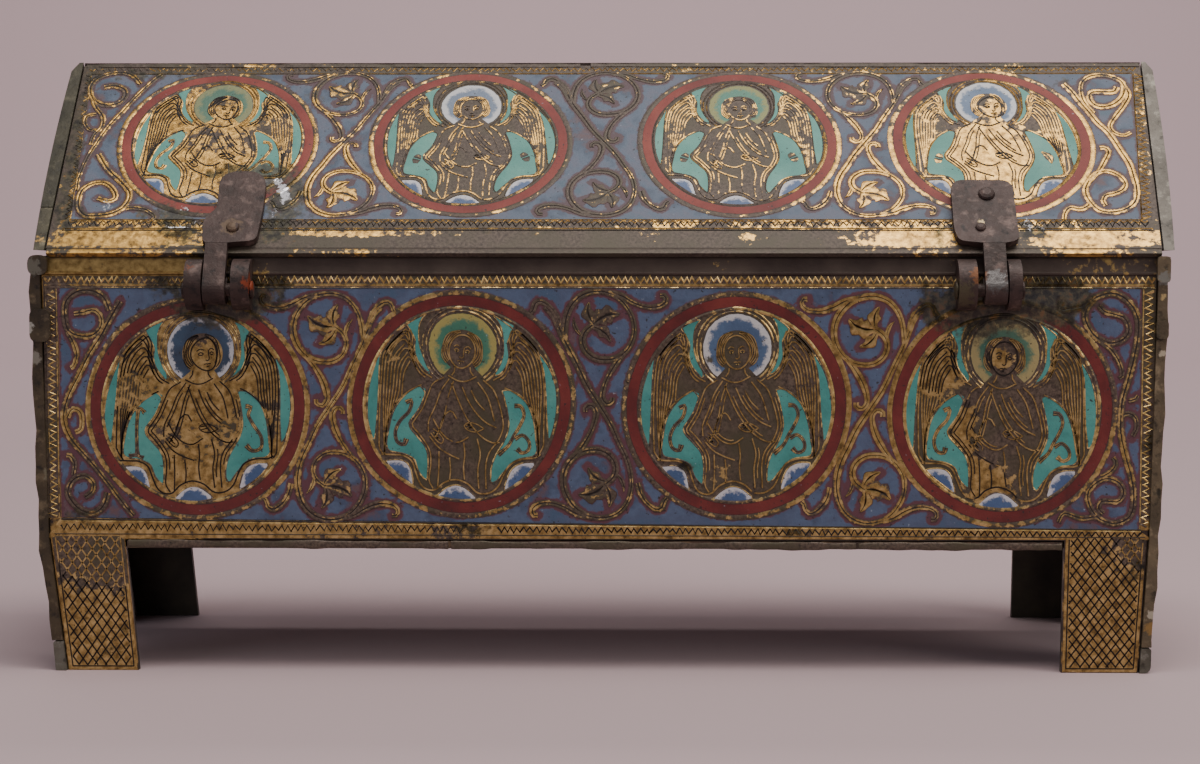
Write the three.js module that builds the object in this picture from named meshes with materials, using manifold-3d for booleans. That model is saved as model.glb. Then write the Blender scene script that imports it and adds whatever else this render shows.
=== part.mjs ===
// Reliquary casket: a box of copper plates on four feet, under a gabled lid on two loop hinges.
// Millimetres, +Z up. X runs along the casket, and the hinges are on its -Y side, the front.
import * as THREE from 'three';
import { mergeVertices } from 'three/addons/utils/BufferGeometryUtils.js';
import Module from 'manifold-3d';

const wasm = await Module();
wasm.setup();

// Plates
const panelThickness = 1.8; // long panels and lid slopes
const endThickness = 2.0; // end plates of the case
const gableThickness = 2.1; // end plates of the lid
const floorThickness = 1.5;
const seam = 0.25; // open joint between neighbouring plates
const endProud = 0.8; // the end plates stand proud of the long panels' faces
const gableProud = 0.4; // the gables stand proud of the slopes' faces
const ripple = 0.22; // hammered waves in the outer faces of the end plates
const ripplePitch = 17;
const fineRipple = 0.13; // and finer waves between them
const fineRipplePitch = 7.4;
const rippleSteps = 24;

// Case
const rimLength = 227.6; // over both end plates at the rim
const floorLength = 225.2; // over both end plates at the floor
const caseDepth = 72; // over the faces of the two long panels
const footHeight = 26.7;
const wallHeight = 56.9; // from the feet to the rim
const rimBand = 2.9; // height of the band below the rim, which leans back
const rimLean = 0.6;
const beadHeight = 0.8; // bead along the lower edge of that band
const beadProud = 0.35;
const beadShoulder = 0.25; // height of the bead's sloping sides
const legWidth = 15; // each leg of an end plate, measured along Y
const feet = {
  left: { side: -1, topWidth: 15.0, soleWidth: 14.2, lean: 3.3, mendHeight: 6.2, mendRound: 0.3 },
  right: { side: 1, topWidth: 16.6, soleWidth: 15.4, lean: 1.6, mendHeight: 5.3, mendRound: 1.6 },
};
const mendDepth = 6; // the mended corner of a leg, measured along Y
const mendEase = 0.1; // rounding of its inner corners
const mendShoulder = 0.5; // rounding of its upper outer corner
const floorProud = 0.15; // the floor's edge shows under the long panels, a little proud
const floorNotch = 0.45; // gap between the floor's notches and the feet

// Lugs of the end plates that are folded over the front panel
const lugThickness = 1.05;
const lugGap = 0.1;
const lugs = [
  { side: -1, belowRim: -0.4, height: 4.0, reach: 3.9, round: 1.7 },
  { side: -1, belowRim: 10.4, height: 6.6, reach: 4.1, round: 1.6 },
  { side: 1, belowRim: -0.2, height: 5.2, reach: 2.6, round: 0.9 },
  { side: 1, belowRim: 12.6, height: 3.6, reach: 2.4, round: 0.8 },
];

// Lid
const lidClearance = 1.7; // from the rim to the slopes' lower edges
const lidRise = 38.4; // from those edges to the ridge
const lidRest = 0.3; // the least gap that the closed lid keeps over the rim
const lidLeftInset = 0.9; // from the case's left end at the rim
const lidRightOverhang = 1.0;
const leftGableLean = 0.6; // how far the top of each gable stands towards +X
const rightGableLean = 1.9;
const gableBulge = 0.6; // the gables' outer faces swell between base and ridge
const gableCorner = 1.3; // rounding of a gable's top corner
const ridgeStep = 0.6; // the back slope's upper edge stands over the front one's
const frontEdgeBow = 0.5; // the front slope's lower edge hangs lower in the middle
const bowSteps = 12;
const gableMendLength = 10.3; // mended lower corner of the left gable, up the slope

// Hinges: each has two loops on the case and one tongue on the lid, round a pin
const axisOut = 3.3; // pin axis in front of the front panel
const axisDrop = 6.5; // pin axis below the rim
const pinRadius = 1.3;
const pinHead = 0.5; // thickness of the riveted pin ends, and how much wider they are
const pinEase = 0.2; // rounding of those ends
const pinGap = 0.2; // between them and the loops
const loopBore = 0.06; // radial clearance of the pin in the loops
const tongueBore = 0.09; // radial clearance of the tongue on the pin
const loopRadius = 5.1;
const loopDrop = 5.5; // middle of the loops below the rim
const loopOut = 1.0; // middle of the loops' round front before the panel
const shankHeight = 3.0; // the loops' legs, which pass through the front panel
const shankWidth = 2.0;
const shankLift = -1.2; // middle of the legs above the pin axis
const clenchHeight = 5.4; // the legs' ends, turned over inside
const clenchThickness = 0.9;
const clenchInset = 0.2; // the turned-over ends are narrower than the loop on each side
const slotGap = 0.15;
const strapThickness = 1.5;
const strapGap = 0.3; // the straps lie this far off the slope
const tongueWidth = 4.4;
const tongueWrap = 265; // degrees of the pin that a tongue goes round
const sideGap = 0.3; // least gap between a tongue and a loop
const tongueRoot = 3; // how far a tongue runs up into its strap
const tongueBend = 0.2; // where it leaves the slope's line, up from the slope's edge
const tongueSteps = 22;
const hinges = {
  left: {
    side: -1,
    inset: 37.75, // tongue's middle from the case's end at the rim
    outerLoop: 3.4,
    innerLoop: 3.6,
    innerSlack: 0.9, // added to the side gap at the inner loop
    strap: [
      [-2.2, 0.0, 0], [-3.0, 0.8, 0.6], [-3.3, 6.4, 1.8], [-0.8, 9.6, 1.2], [-1.3, 19.7, 4.3],
      [8.4, 19.7, 4.4], [8.5, 9.0, 2.5], [7.9, 0.6, 1.6], [2.2, 0.0, 0],
    ],
    rivets: [{ name: 'left_strap_rivet', across: 2.9, up: 4.1, head: 1.35 }],
  },
  right: {
    side: 1,
    inset: 34.85,
    outerLoop: 2.6,
    innerLoop: 3.7,
    innerSlack: 1.2,
    strap: [
      [-2.2, 0.0, 0], [-6.9, 0.6, 1.3], [-7.7, 3.4, 1.3], [-7.5, 17.2, 2.8], [5.0, 17.2, 2.8],
      [5.1, 0.7, 1.7], [2.2, 0.0, 0],
    ],
    rivets: [
      { name: 'right_strap_upper_rivet', across: -0.5, up: 13.2, head: 1.7 },
      { name: 'right_strap_lower_rivet', across: -2.4, up: 4.1, head: 1.05 },
    ],
  },
};
const rivetShank = 0.75;
const rivetTail = 0.45; // the tail is this much wider than the shank
const rivetGap = 0.1;
const rivetRim = 0.15; // straight edge under a head's dome
const rivetDome = 0.45; // height of the dome as a share of the head's radius
const tailHeight = 0.5;

// Places that follow from the sizes above
const rim = footHeight + wallHeight;
const face = caseDepth / 2;
const lidBase = rim + lidClearance;
const ridge = lidBase + lidRise;
const slope = Math.atan2(lidRise, face);
const slopeLength = Math.hypot(lidRise, face);
const endEdge = face + endProud;
const axisY = -face - axisOut;
const axisZ = rim - axisDrop;
const shankZ = axisZ + shankLift;

// Surface finishes
const finish = (color, roughness, metalness) =>
  new THREE.MeshStandardMaterial({ color, roughness, metalness, flatShading: true });
const enamelledCopper = () => finish(0x55657c, 0.42, 0.25);
const agedCopper = () => finish(0x5b4a3a, 0.55, 0.85);
const wroughtIron = () => finish(0x3d3531, 0.62, 0.8);

// Solids from outlines
const outline = (points) => new THREE.Shape(points.map(([a, b]) => new THREE.Vector2(a, b)));

function extruded(shape, depth, curveSegments = 12) {
  return new THREE.ExtrudeGeometry(shape, { depth, bevelEnabled: false, curveSegments });
}

// A (y, z) outline carried along X
function alongX(shape, start, end, curveSegments) {
  const turn = new THREE.Matrix4().makeBasis(
    new THREE.Vector3(0, 1, 0),
    new THREE.Vector3(0, 0, 1),
    new THREE.Vector3(1, 0, 0),
  );
  return extruded(shape, end - start, curveSegments).applyMatrix4(turn).translate(start, 0, 0);
}

// An (x, z) outline carried along Y
function alongY(shape, start, end, curveSegments) {
  const geometry = extruded(shape, end - start, curveSegments);
  return geometry.rotateX(Math.PI / 2).translate(0, end, 0);
}

// An (x, y) outline carried along Z
function alongZ(shape, start, end, curveSegments) {
  return extruded(shape, end - start, curveSegments).translate(0, 0, start);
}

function block(low, high) {
  const size = high.map((value, i) => value - low[i]);
  const middle = high.map((value, i) => (value + low[i]) / 2);
  return new THREE.BoxGeometry(...size).translate(...middle);
}

// A closed outline with its corners [a, b, radius] rounded
function roundedOutline(corners) {
  const shape = new THREE.Shape();
  corners.forEach(([a, b, radius], i) => {
    const here = new THREE.Vector2(a, b);
    const before = new THREE.Vector2(...corners.at(i - 1).slice(0, 2));
    const after = new THREE.Vector2(...corners[(i + 1) % corners.length].slice(0, 2));
    const enter = here.clone().add(before.clone().sub(here).setLength(radius));
    const leave = here.clone().add(after.clone().sub(here).setLength(radius));
    if (i === 0) shape.moveTo(enter.x, enter.y);
    else shape.lineTo(enter.x, enter.y);
    if (radius > 0) shape.quadraticCurveTo(here.x, here.y, leave.x, leave.y);
  });
  shape.closePath();
  return shape;
}

function solid(geometry) {
  const bare = geometry.clone();
  bare.deleteAttribute('normal');
  bare.deleteAttribute('uv');
  const merged = mergeVertices(bare, 1e-4);
  return new wasm.Manifold(new wasm.Mesh({
    numProp: 3,
    vertProperties: new Float32Array(merged.attributes.position.array),
    triVerts: new Uint32Array(merged.index.array),
  }));
}

function piece(name, form, material) {
  const { vertProperties, triVerts } = form.getMesh();
  const geometry = new THREE.BufferGeometry();
  geometry.setAttribute('position', new THREE.BufferAttribute(vertProperties, 3));
  geometry.setIndex(new THREE.BufferAttribute(triVerts, 1));
  geometry.computeVertexNormals();
  const mesh = new THREE.Mesh(geometry, material);
  mesh.name = name;
  return mesh;
}

// Half the case's outside length at height z, on the side of one foot
function caseEnd(z, foot) {
  if (z >= footHeight) {
    return THREE.MathUtils.mapLinear(z, footHeight, rim, floorLength / 2, rimLength / 2);
  }
  return floorLength / 2 - foot.lean * (1 - z / footHeight);
}

const panelEnd = (z, foot) => caseEnd(z, foot) - endThickness - seam;

// Long panels: a wall and its two feet in one plate, with a leaning band and a bead at the rim
function panelForm(side) {
  const bandFoot = rim - rimBand;
  const inner = face - panelThickness;
  const section = outline([
    [face, 0],
    [face, bandFoot - beadHeight],
    [face + beadProud, bandFoot - beadHeight + beadShoulder],
    [face + beadProud, bandFoot - beadShoulder],
    [face, bandFoot],
    [face - rimLean, rim],
    [inner - rimLean, rim],
    [inner, bandFoot],
    [inner, 0],
  ].map(([y, z]) => [side * y, z]));
  const { left, right } = feet;
  const plan = outline([
    [-panelEnd(rim, left), rim],
    [-panelEnd(footHeight, left), footHeight],
    [-panelEnd(0, left), 0],
    [-panelEnd(0, left) + left.soleWidth, 0],
    [-panelEnd(footHeight, left) + left.topWidth, footHeight],
    [panelEnd(footHeight, right) - right.topWidth, footHeight],
    [panelEnd(0, right) - right.soleWidth, 0],
    [panelEnd(0, right), 0],
    [panelEnd(footHeight, right), footHeight],
    [panelEnd(rim, right), rim],
  ]);
  const whole = solid(alongX(section, -rimLength, rimLength));
  return whole.intersect(solid(alongY(plan, -caseDepth, caseDepth)));
}

// End plates: a wall with two legs, lugs folded over the front panel, and one broken leg corner
function endPlate(name, foot) {
  const { side } = foot;
  const wave = (z) => ripple * Math.sin((z / ripplePitch) * 2 * Math.PI + side)
    + fineRipple * Math.sin((z / fineRipplePitch) * 2 * Math.PI);
  const outer = Array.from({ length: rippleSteps + 1 }, (_, i) => {
    const z = (rim * i) / rippleSteps;
    return [side * (caseEnd(z, foot) + wave(z)), z];
  });
  const inner = [rim, footHeight, 0].map((z) => [side * (caseEnd(z, foot) - endThickness), z]);
  let form = solid(alongY(outline([...outer, ...inner]), -endEdge, endEdge));
  const legGap = face + endProud - legWidth;
  form = form.subtract(solid(block([-rimLength, -legGap, -1], [rimLength, legGap, footHeight])));
  const corner = block([-rimLength, -caseDepth, -1], [rimLength, mendDepth - endEdge, foot.mendHeight]);
  form = form.subtract(solid(corner));
  const lugBack = -face - beadProud - lugGap;
  for (const lug of lugs.filter((one) => one.side === side)) {
    const high = rim - lug.belowRim;
    const low = high - lug.height;
    const edge = caseEnd((low + high) / 2, foot) + ripple;
    const shape = roundedOutline([
      [side * edge, low, lug.round],
      [side * edge, high, lug.round],
      [side * (edge - lug.reach), high, lug.round],
      [side * (edge - lug.reach), low, lug.round],
    ]);
    form = form.add(solid(alongY(shape, lugBack - lugThickness, lugBack, 5)));
  }
  return piece(name, form, agedCopper());
}

// Mended corner of a front leg
function footMend(name, foot) {
  const top = foot.mendHeight - seam;
  const shape = roundedOutline([
    [foot.side * (caseEnd(0, foot) - endThickness), 0, mendEase],
    [foot.side * (caseEnd(top, foot) - endThickness), top, mendEase],
    [foot.side * caseEnd(top, foot), top, mendShoulder],
    [foot.side * (caseEnd(0, foot) + ripple), 0, foot.mendRound],
  ]);
  return piece(name, solid(alongY(shape, -endEdge, mendDepth - seam - endEdge, 5)), agedCopper());
}

// Floor plate: notched round the feet, its long edges showing under the panels
function floorPlate() {
  const top = footHeight - seam;
  const bottom = top - floorThickness;
  const { left, right } = feet;
  const yIn = face - panelThickness - seam;
  const yOut = face + floorProud;
  const xs = {
    left: -panelEnd(bottom, left),
    leftFoot: -panelEnd(footHeight, left) + left.topWidth + floorNotch,
    rightFoot: panelEnd(footHeight, right) - right.topWidth - floorNotch,
    right: panelEnd(bottom, right),
  };
  const front = [
    [xs.left, -yIn], [xs.leftFoot, -yIn], [xs.leftFoot, -yOut],
    [xs.rightFoot, -yOut], [xs.rightFoot, -yIn], [xs.right, -yIn],
  ];
  const back = front.map(([x, y]) => [x, -y]).reverse();
  return piece('floor_plate', solid(alongZ(outline([...front, ...back]), bottom, top)), agedCopper());
}

// Outer faces of the lid's gables at height z
const lidLeft = (z) => -rimLength / 2 + lidLeftInset + (leftGableLean * (z - lidBase)) / lidRise;
const lidRight = (z) => rimLength / 2 + lidRightOverhang + (rightGableLean * (z - lidBase)) / lidRise;

// Lid slopes, in a frame of their own: X along, Y up the slope, Z out of its face
const fromSlope = (v, w) => [
  -face + v * Math.cos(slope) - w * Math.sin(slope),
  lidBase + v * Math.sin(slope) + w * Math.cos(slope),
];

function slopeForm(leftX, rightX, bow) {
  const ridgeV = (w) => (face - seam / 2 + w * Math.sin(slope)) / Math.cos(slope);
  const section = outline([
    [-bow - 1, 0],
    [ridgeV(0), 0],
    [ridgeV(-panelThickness), -panelThickness],
    [-bow - 1, -panelThickness],
  ]);
  const edge = Array.from({ length: bowSteps + 1 }, (_, i) => {
    const t = i / bowSteps;
    return [THREE.MathUtils.lerp(leftX(lidBase), rightX(lidBase), t), -bow * 4 * t * (1 - t)];
  });
  const plan = outline([...edge, [rightX(ridge), slopeLength], [leftX(ridge), slopeLength]]);
  const whole = solid(alongX(section, -rimLength, rimLength));
  return whole.intersect(solid(alongZ(plan, -panelThickness - 1, 1)));
}

// Gables: the house-shaped ends of the lid, lower at the back, where the closed lid comes down
function gableForm(outerX, side) {
  const cornerShare = 1 - gableCorner / lidRise;
  const low = rim + lidRest;
  const high = ridge + gableProud / Math.cos(slope);
  const outer = Array.from({ length: bowSteps + 1 }, (_, i) => {
    const t = (cornerShare * i) / bowSteps;
    return [outerX(lidBase + lidRise * t) + side * gableBulge * 4 * t * (1 - t), lidBase + lidRise * t];
  });
  const rounded = [outerX(ridge) - side * gableCorner, high];
  const section = outline([
    [outerX(low), low],
    ...outer,
    rounded,
    [outerX(high) - side * gableThickness, high],
    [outerX(low) - side * gableThickness, low],
  ]);
  const proudFoot = (z) => face + gableProud / Math.sin(slope) - (z - lidBase) / Math.tan(slope);
  const frontLow = lidBase - lidRest;
  const plan = outline([
    [-proudFoot(frontLow), frontLow],
    [0, high],
    [proudFoot(low), low],
    [0, low],
  ]);
  const whole = solid(alongY(section, -caseDepth, caseDepth));
  return whole.intersect(solid(alongX(plan, -rimLength, rimLength)));
}

// Hinge loops: a strip folded round the pin, with its legs through the panel and turned over
function hingeLoop(name, low, high) {
  const middle = (low + high) / 2;
  const loopZ = rim - loopDrop;
  const loopY = -face - loopOut;
  const shape = new THREE.Shape();
  shape.moveTo(-face, loopZ - loopRadius);
  shape.lineTo(-face, loopZ + loopRadius);
  shape.lineTo(loopY, loopZ + loopRadius);
  shape.absarc(loopY, loopZ, loopRadius, Math.PI / 2, (3 * Math.PI) / 2, false);
  shape.closePath();
  const bore = new THREE.Path();
  bore.absarc(axisY, axisZ, pinRadius + loopBore, 0, 2 * Math.PI, true);
  shape.holes.push(bore);
  const inside = panelThickness - face + slotGap;
  const shank = block(
    [middle - shankWidth / 2, -face - loopOut, shankZ - shankHeight / 2],
    [middle + shankWidth / 2, inside + clenchThickness / 2, shankZ + shankHeight / 2],
  );
  const clench = block(
    [low + clenchInset, inside, shankZ - clenchHeight / 2],
    [high - clenchInset, inside + clenchThickness, shankZ + clenchHeight / 2],
  );
  const form = solid(alongX(shape, low, high, 16)).add(solid(shank)).add(solid(clench));
  return piece(name, form, wroughtIron());
}

// What the front panel gives up to a loop: a slot for its legs, and the bead where it seats
function loopSlot(low, high) {
  const middle = (low + high) / 2;
  const slot = solid(block(
    [middle - shankWidth / 2 - slotGap, -face - 1, shankZ - shankHeight / 2 - slotGap],
    [middle + shankWidth / 2 + slotGap, -face + panelThickness + 1, shankZ + shankHeight / 2 + slotGap],
  ));
  const seat = block([low - slotGap, -face - 2 * beadProud, footHeight], [high + slotGap, -face, rim]);
  return slot.add(solid(seat));
}

function hingePin(name, low, high) {
  const wide = pinRadius + pinHead;
  const neck = pinGap;
  const end = pinGap + pinHead;
  const length = high - low;
  const profile = [
    [0, -end], [pinRadius, -end], [wide, -end + pinEase], [wide, -neck], [pinRadius, -neck],
    [pinRadius, length + neck], [wide, length + neck], [wide, length + end - pinEase],
    [pinRadius, length + end], [0, length + end],
  ].map(([r, x]) => new THREE.Vector2(r, x));
  const geometry = new THREE.LatheGeometry(profile, 24).rotateZ(-Math.PI / 2);
  return piece(name, solid(geometry.translate(low, axisY, axisZ)), wroughtIron());
}

// Lid strap: a forged plate on the slope that narrows to a tongue, bent round the pin
function strapForm(hinge, middle) {
  const midW = strapGap + strapThickness / 2;
  const half = strapThickness / 2;
  const pin = new THREE.Vector2(
    (axisY + face) * Math.cos(slope) + (axisZ - lidBase) * Math.sin(slope),
    -(axisY + face) * Math.sin(slope) + (axisZ - lidBase) * Math.cos(slope),
  );
  const bend = new THREE.Vector2(tongueBend, midW);
  const wrap = pinRadius + tongueBore + half;
  const away = bend.clone().sub(pin);
  const start = away.angle() + Math.acos(wrap / away.length());
  const turn = THREE.MathUtils.degToRad(tongueWrap) / tongueSteps;
  const around = Array.from({ length: tongueSteps + 1 }, (_, i) => start + turn * i);
  const ring = (radius) => around.map((a) => [pin.x + radius * Math.cos(a), pin.y + radius * Math.sin(a)]);
  const section = outline([
    [tongueRoot, midW + half],
    [bend.x, midW + half],
    ...ring(wrap + half),
    ...ring(wrap - half).reverse(),
    [bend.x, midW - half],
    [tongueRoot, midW - half],
  ]);
  const tongue = solid(alongX(section, middle - tongueWidth / 2, middle + tongueWidth / 2));
  const shape = roundedOutline(hinge.strap.map(([u, v, r]) => [middle + u, v, r]));
  const plate = solid(alongZ(shape, strapGap, strapGap + strapThickness, 6));
  return plate.add(tongue);
}

// Rivet: a domed head on the strap, a shank through strap and slope, and a tail inside
function rivetProfile(head) {
  const top = strapGap + strapThickness + rivetGap;
  const tail = -panelThickness - rivetGap;
  const dome = [0, 30, 60].map((angle) => {
    const a = THREE.MathUtils.degToRad(angle);
    return [head * Math.cos(a), top + rivetRim + head * rivetDome * Math.sin(a)];
  });
  return [
    [0, tail - tailHeight],
    [rivetShank + rivetTail, tail - tailHeight],
    [rivetShank + rivetTail, tail],
    [rivetShank, tail],
    [rivetShank, top],
    [head, top],
    ...dome,
    [0, top + rivetRim + head * rivetDome],
  ].map(([r, w]) => new THREE.Vector2(r, w));
}

const rivetForm = (rivet, middle) => solid(
  new THREE.LatheGeometry(rivetProfile(rivet.head), 16)
    .rotateX(Math.PI / 2)
    .translate(middle + rivet.across, rivet.up, 0),
);

const rivetHole = (rivet, middle) => solid(
  new THREE.CylinderGeometry(rivetShank + rivetGap, rivetShank + rivetGap, 12, 16)
    .rotateX(Math.PI / 2)
    .translate(middle + rivet.across, rivet.up, 0),
);

// The case
const box = new THREE.Group();
const lid = new THREE.Group();
const frontSlope = new THREE.Group();
frontSlope.position.set(0, -face, lidBase);
frontSlope.rotation.x = slope;
const backSlope = new THREE.Group();
const backTurn = new THREE.Group();
backTurn.position.set(0, face, lidBase + ridgeStep);
backTurn.rotation.z = Math.PI;
backSlope.rotation.x = slope;
backTurn.add(backSlope);
lid.add(frontSlope, backTurn);

let frontPanel = panelForm(-1);
let frontPlate = slopeForm(
  (z) => lidLeft(z) + gableThickness + seam,
  (z) => lidRight(z) - gableThickness - seam,
  frontEdgeBow,
);
for (const [label, hinge] of Object.entries(hinges)) {
  const middle = hinge.side * (rimLength / 2 - hinge.inset);
  const outerNear = tongueWidth / 2 + sideGap;
  const innerNear = tongueWidth / 2 + sideGap + hinge.innerSlack;
  const spans = {
    outer: [middle + hinge.side * outerNear, middle + hinge.side * (outerNear + hinge.outerLoop)],
    inner: [middle - hinge.side * innerNear, middle - hinge.side * (innerNear + hinge.innerLoop)],
  };
  for (const [place, ends] of Object.entries(spans)) {
    const [low, high] = ends.toSorted((a, b) => a - b);
    box.add(hingeLoop(`${label}_hinge_${place}_loop`, low, high));
    frontPanel = frontPanel.subtract(loopSlot(low, high));
  }
  const reach = [...spans.outer, ...spans.inner];
  box.add(hingePin(`${label}_hinge_pin`, Math.min(...reach), Math.max(...reach)));
  let strap = strapForm(hinge, middle);
  for (const rivet of hinge.rivets) {
    strap = strap.subtract(rivetHole(rivet, middle));
    frontPlate = frontPlate.subtract(rivetHole(rivet, middle));
    frontSlope.add(piece(rivet.name, rivetForm(rivet, middle), wroughtIron()));
  }
  frontSlope.add(piece(`${label}_strap`, strap, wroughtIron()));
}
box.add(piece('front_panel', frontPanel, enamelledCopper()));
box.add(piece('back_panel', panelForm(1), enamelledCopper()));
box.add(endPlate('left_end_plate', feet.left));
box.add(endPlate('right_end_plate', feet.right));
box.add(footMend('left_foot_mend', feet.left));
box.add(footMend('right_foot_mend', feet.right));
box.add(floorPlate());

// The lid
frontSlope.add(piece('lid_front_slope', frontPlate, enamelledCopper()));
const backDrop = (lidClearance + ridgeStep - lidRest) / Math.sin(slope) - panelThickness / Math.tan(slope);
backSlope.add(piece('lid_back_slope', slopeForm(
  (z) => -(lidRight(z) - gableThickness - seam),
  (z) => -(lidLeft(z) + gableThickness + seam),
  Math.max(backDrop, 0),
), enamelledCopper()));
const leftGable = gableForm(lidLeft, -1);
const mendY = fromSlope(gableMendLength, 0)[0];
const mendBlock = (gap) => solid(block([-rimLength, -caseDepth, 0], [0, mendY + gap, ridge]));
lid.add(piece('lid_left_gable', leftGable.subtract(mendBlock(seam)), agedCopper()));
lid.add(piece('lid_left_gable_mend', leftGable.intersect(mendBlock(0)), agedCopper()));
lid.add(piece('lid_right_gable', gableForm(lidRight, 1), agedCopper()));

// The origin is on the ground, under the middle of the whole casket
const casket = new THREE.Group();
casket.add(box, lid);
casket.updateMatrixWorld(true);
const bounds = new THREE.Box3().setFromObject(casket, true);
const centre = bounds.getCenter(new THREE.Vector3());
casket.position.set(-centre.x, -centre.y, -bounds.min.z);

export default casket;
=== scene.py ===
import functools
import math

import bpy
import numpy as np
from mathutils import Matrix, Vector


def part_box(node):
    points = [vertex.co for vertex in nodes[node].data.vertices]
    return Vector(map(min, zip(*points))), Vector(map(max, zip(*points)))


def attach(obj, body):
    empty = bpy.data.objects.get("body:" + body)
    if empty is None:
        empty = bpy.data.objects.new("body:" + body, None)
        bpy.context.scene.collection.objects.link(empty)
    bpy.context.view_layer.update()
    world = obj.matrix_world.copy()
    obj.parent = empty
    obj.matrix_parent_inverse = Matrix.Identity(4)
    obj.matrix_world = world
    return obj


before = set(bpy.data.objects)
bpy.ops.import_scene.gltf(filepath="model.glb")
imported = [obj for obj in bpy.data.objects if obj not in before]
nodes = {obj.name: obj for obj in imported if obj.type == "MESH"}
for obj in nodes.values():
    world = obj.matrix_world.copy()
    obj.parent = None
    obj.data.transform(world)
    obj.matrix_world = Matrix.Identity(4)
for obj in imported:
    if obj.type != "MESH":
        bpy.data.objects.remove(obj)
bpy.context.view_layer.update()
mm = 0.001

# where the plates lie: sizes as in the frame, and its middle from the nodes' boxes
caseFrame = {"face": 36.0, "lidBase": 85.3, "lidRise": 38.4, "ridgeStep": 0.6, "halfLength": 116.0}
frontLow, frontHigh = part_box("front_panel")
midX = (frontLow.x + frontHigh.x) / 2 / mm
midY = (frontLow.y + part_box("back_panel")[1].y) / 2 / mm
slopeAngle = math.atan2(caseFrame["lidRise"], caseFrame["face"])
slopeLength = math.hypot(caseFrame["lidRise"], caseFrame["face"])


def linearColor(code):
    # sRGB hex to linear light: ((c + 0.055) / 1.055) to the power 2.4
    channels = [int(code[i:i + 2], 16) / 255 for i in (1, 3, 5)]
    return [c / 12.92 if c <= 0.04045 else ((c + 0.055) / 1.055) ** 2.4 for c in channels] + [1.0]


def addNode(tree, kind, inputs=None, output=0, ramp=(), **settings):
    # one node with its settings, its values, hex colours or links, and a ramp's stops; gives one output back
    node = tree.nodes.new("ShaderNode" + kind)
    for name, value in settings.items():
        setattr(node, name, value)
    for name, value in (inputs or {}).items():
        if isinstance(value, bpy.types.NodeSocket):
            tree.links.new(value, node.inputs[name])
        else:
            node.inputs[name].default_value = linearColor(value) if isinstance(value, str) else value
    for number, (at, code) in enumerate(ramp):
        stops = node.color_ramp.elements
        stop = stops[number] if number < 2 else stops.new(at)
        stop.position, stop.color = at, linearColor(code)
    return node.outputs[output] if len(node.outputs) else node


def newMaterial(name):
    # an empty material, and the function above for its own tree
    material = bpy.data.materials.new(name)
    material.use_nodes = True
    material.node_tree.nodes.clear()
    return material, functools.partial(addNode, material.node_tree)


print("camera, floor and light")
view = {"place": (7.72, -551.24, 93.49), "tilt": 86.14, "turn": 0.945, "lens": 77.64}
cameraData = bpy.data.cameras.new("camera")
camera = bpy.data.objects.new("camera", cameraData)
bpy.context.scene.collection.objects.link(camera)
camera.location = [c * mm for c in view["place"]]
camera.rotation_euler = (math.radians(view["tilt"]), 0, math.radians(view["turn"]))
cameraData.lens = view["lens"]
cameraData.sensor_width = 36
cameraData.clip_start = 0.01
cameraData.clip_end = 20
bpy.context.scene.camera = camera

# studio paper in metres: flat to its bend, then a quarter circle up to its top
paper = {"reach": 3.0, "flat": 1.0, "bend": 0.8, "top": 3.0, "color": "#ad999c"}
floorData = bpy.data.meshes.new("studio_floor")
floorProfile = [(-paper["reach"], 0.0), (paper["flat"], 0.0)]
floorProfile += [(paper["flat"] + paper["bend"] * math.sin(a), paper["bend"] - paper["bend"] * math.cos(a))
                 for a in np.linspace(0, math.pi / 2, 16)[1:]]
floorProfile += [(paper["flat"] + paper["bend"], paper["top"])]
floorPoints = np.array([[x, y, z] for y, z in floorProfile for x in (-paper["reach"], paper["reach"])])
floorFaces = [(2 * i, 2 * i + 1, 2 * i + 3, 2 * i + 2) for i in range(len(floorProfile) - 1)]
floorData.from_pydata(floorPoints.tolist(), [], floorFaces)
floorData.shade_smooth()
studioFloor = bpy.data.objects.new("studio_floor", floorData)
bpy.context.scene.collection.objects.link(studioFloor)
material, add = newMaterial("studio_paper")
shader = add("BsdfPrincipled", {"Base Color": paper["color"], "Roughness": 0.9})
add("OutputMaterial", {"Surface": shader})
floorData.materials.append(material)


def areaLight(name, place, aim, size, power, color):
    data = bpy.data.lights.new(name, "AREA")
    data.shape = "RECTANGLE"
    data.size, data.size_y = size
    data.energy = power
    data.color = linearColor(color)[:3]
    light = bpy.data.objects.new(name, data)
    bpy.context.scene.collection.objects.link(light)
    light.location = place
    way = np.array(aim) - np.array(place)
    pitch = math.atan2(math.hypot(way[0], way[1]), -way[2])
    light.rotation_euler = (pitch, 0, math.atan2(way[1], way[0]) - math.pi / 2)


areaLight("overhead_softbox", (0.12, -0.2, 0.9), (0, 0, 0.08), (0.72, 0.48), 8.5, "#fffaf4")
areaLight("right_softbox", (0.9, -0.6, 0.55), (0, 0, 0.06), (0.5, 0.6), 3.8, "#fff8f0")
areaLight("left_fill", (-0.8, -0.8, 0.35), (0, 0, 0.05), (0.6, 0.6), 1.5, "#f4f6ff")
areaLight("backdrop_light", (0.0, 0.9, 1.1), (0, 1.5, 0.2), (1.6, 0.5), 14.0, "#fff6f4")
world = bpy.data.worlds.new("studio")
bpy.context.scene.world = world
world.use_nodes = True
background = world.node_tree.nodes["Background"]
background.inputs["Color"].default_value = linearColor("#c9c6cc")
background.inputs["Strength"].default_value = 0.4

print("materials")


def dress(nodeName, material):
    data = nodes[nodeName].data
    data.materials.clear()
    data.materials.append(material)


print("panel frames")


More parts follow.
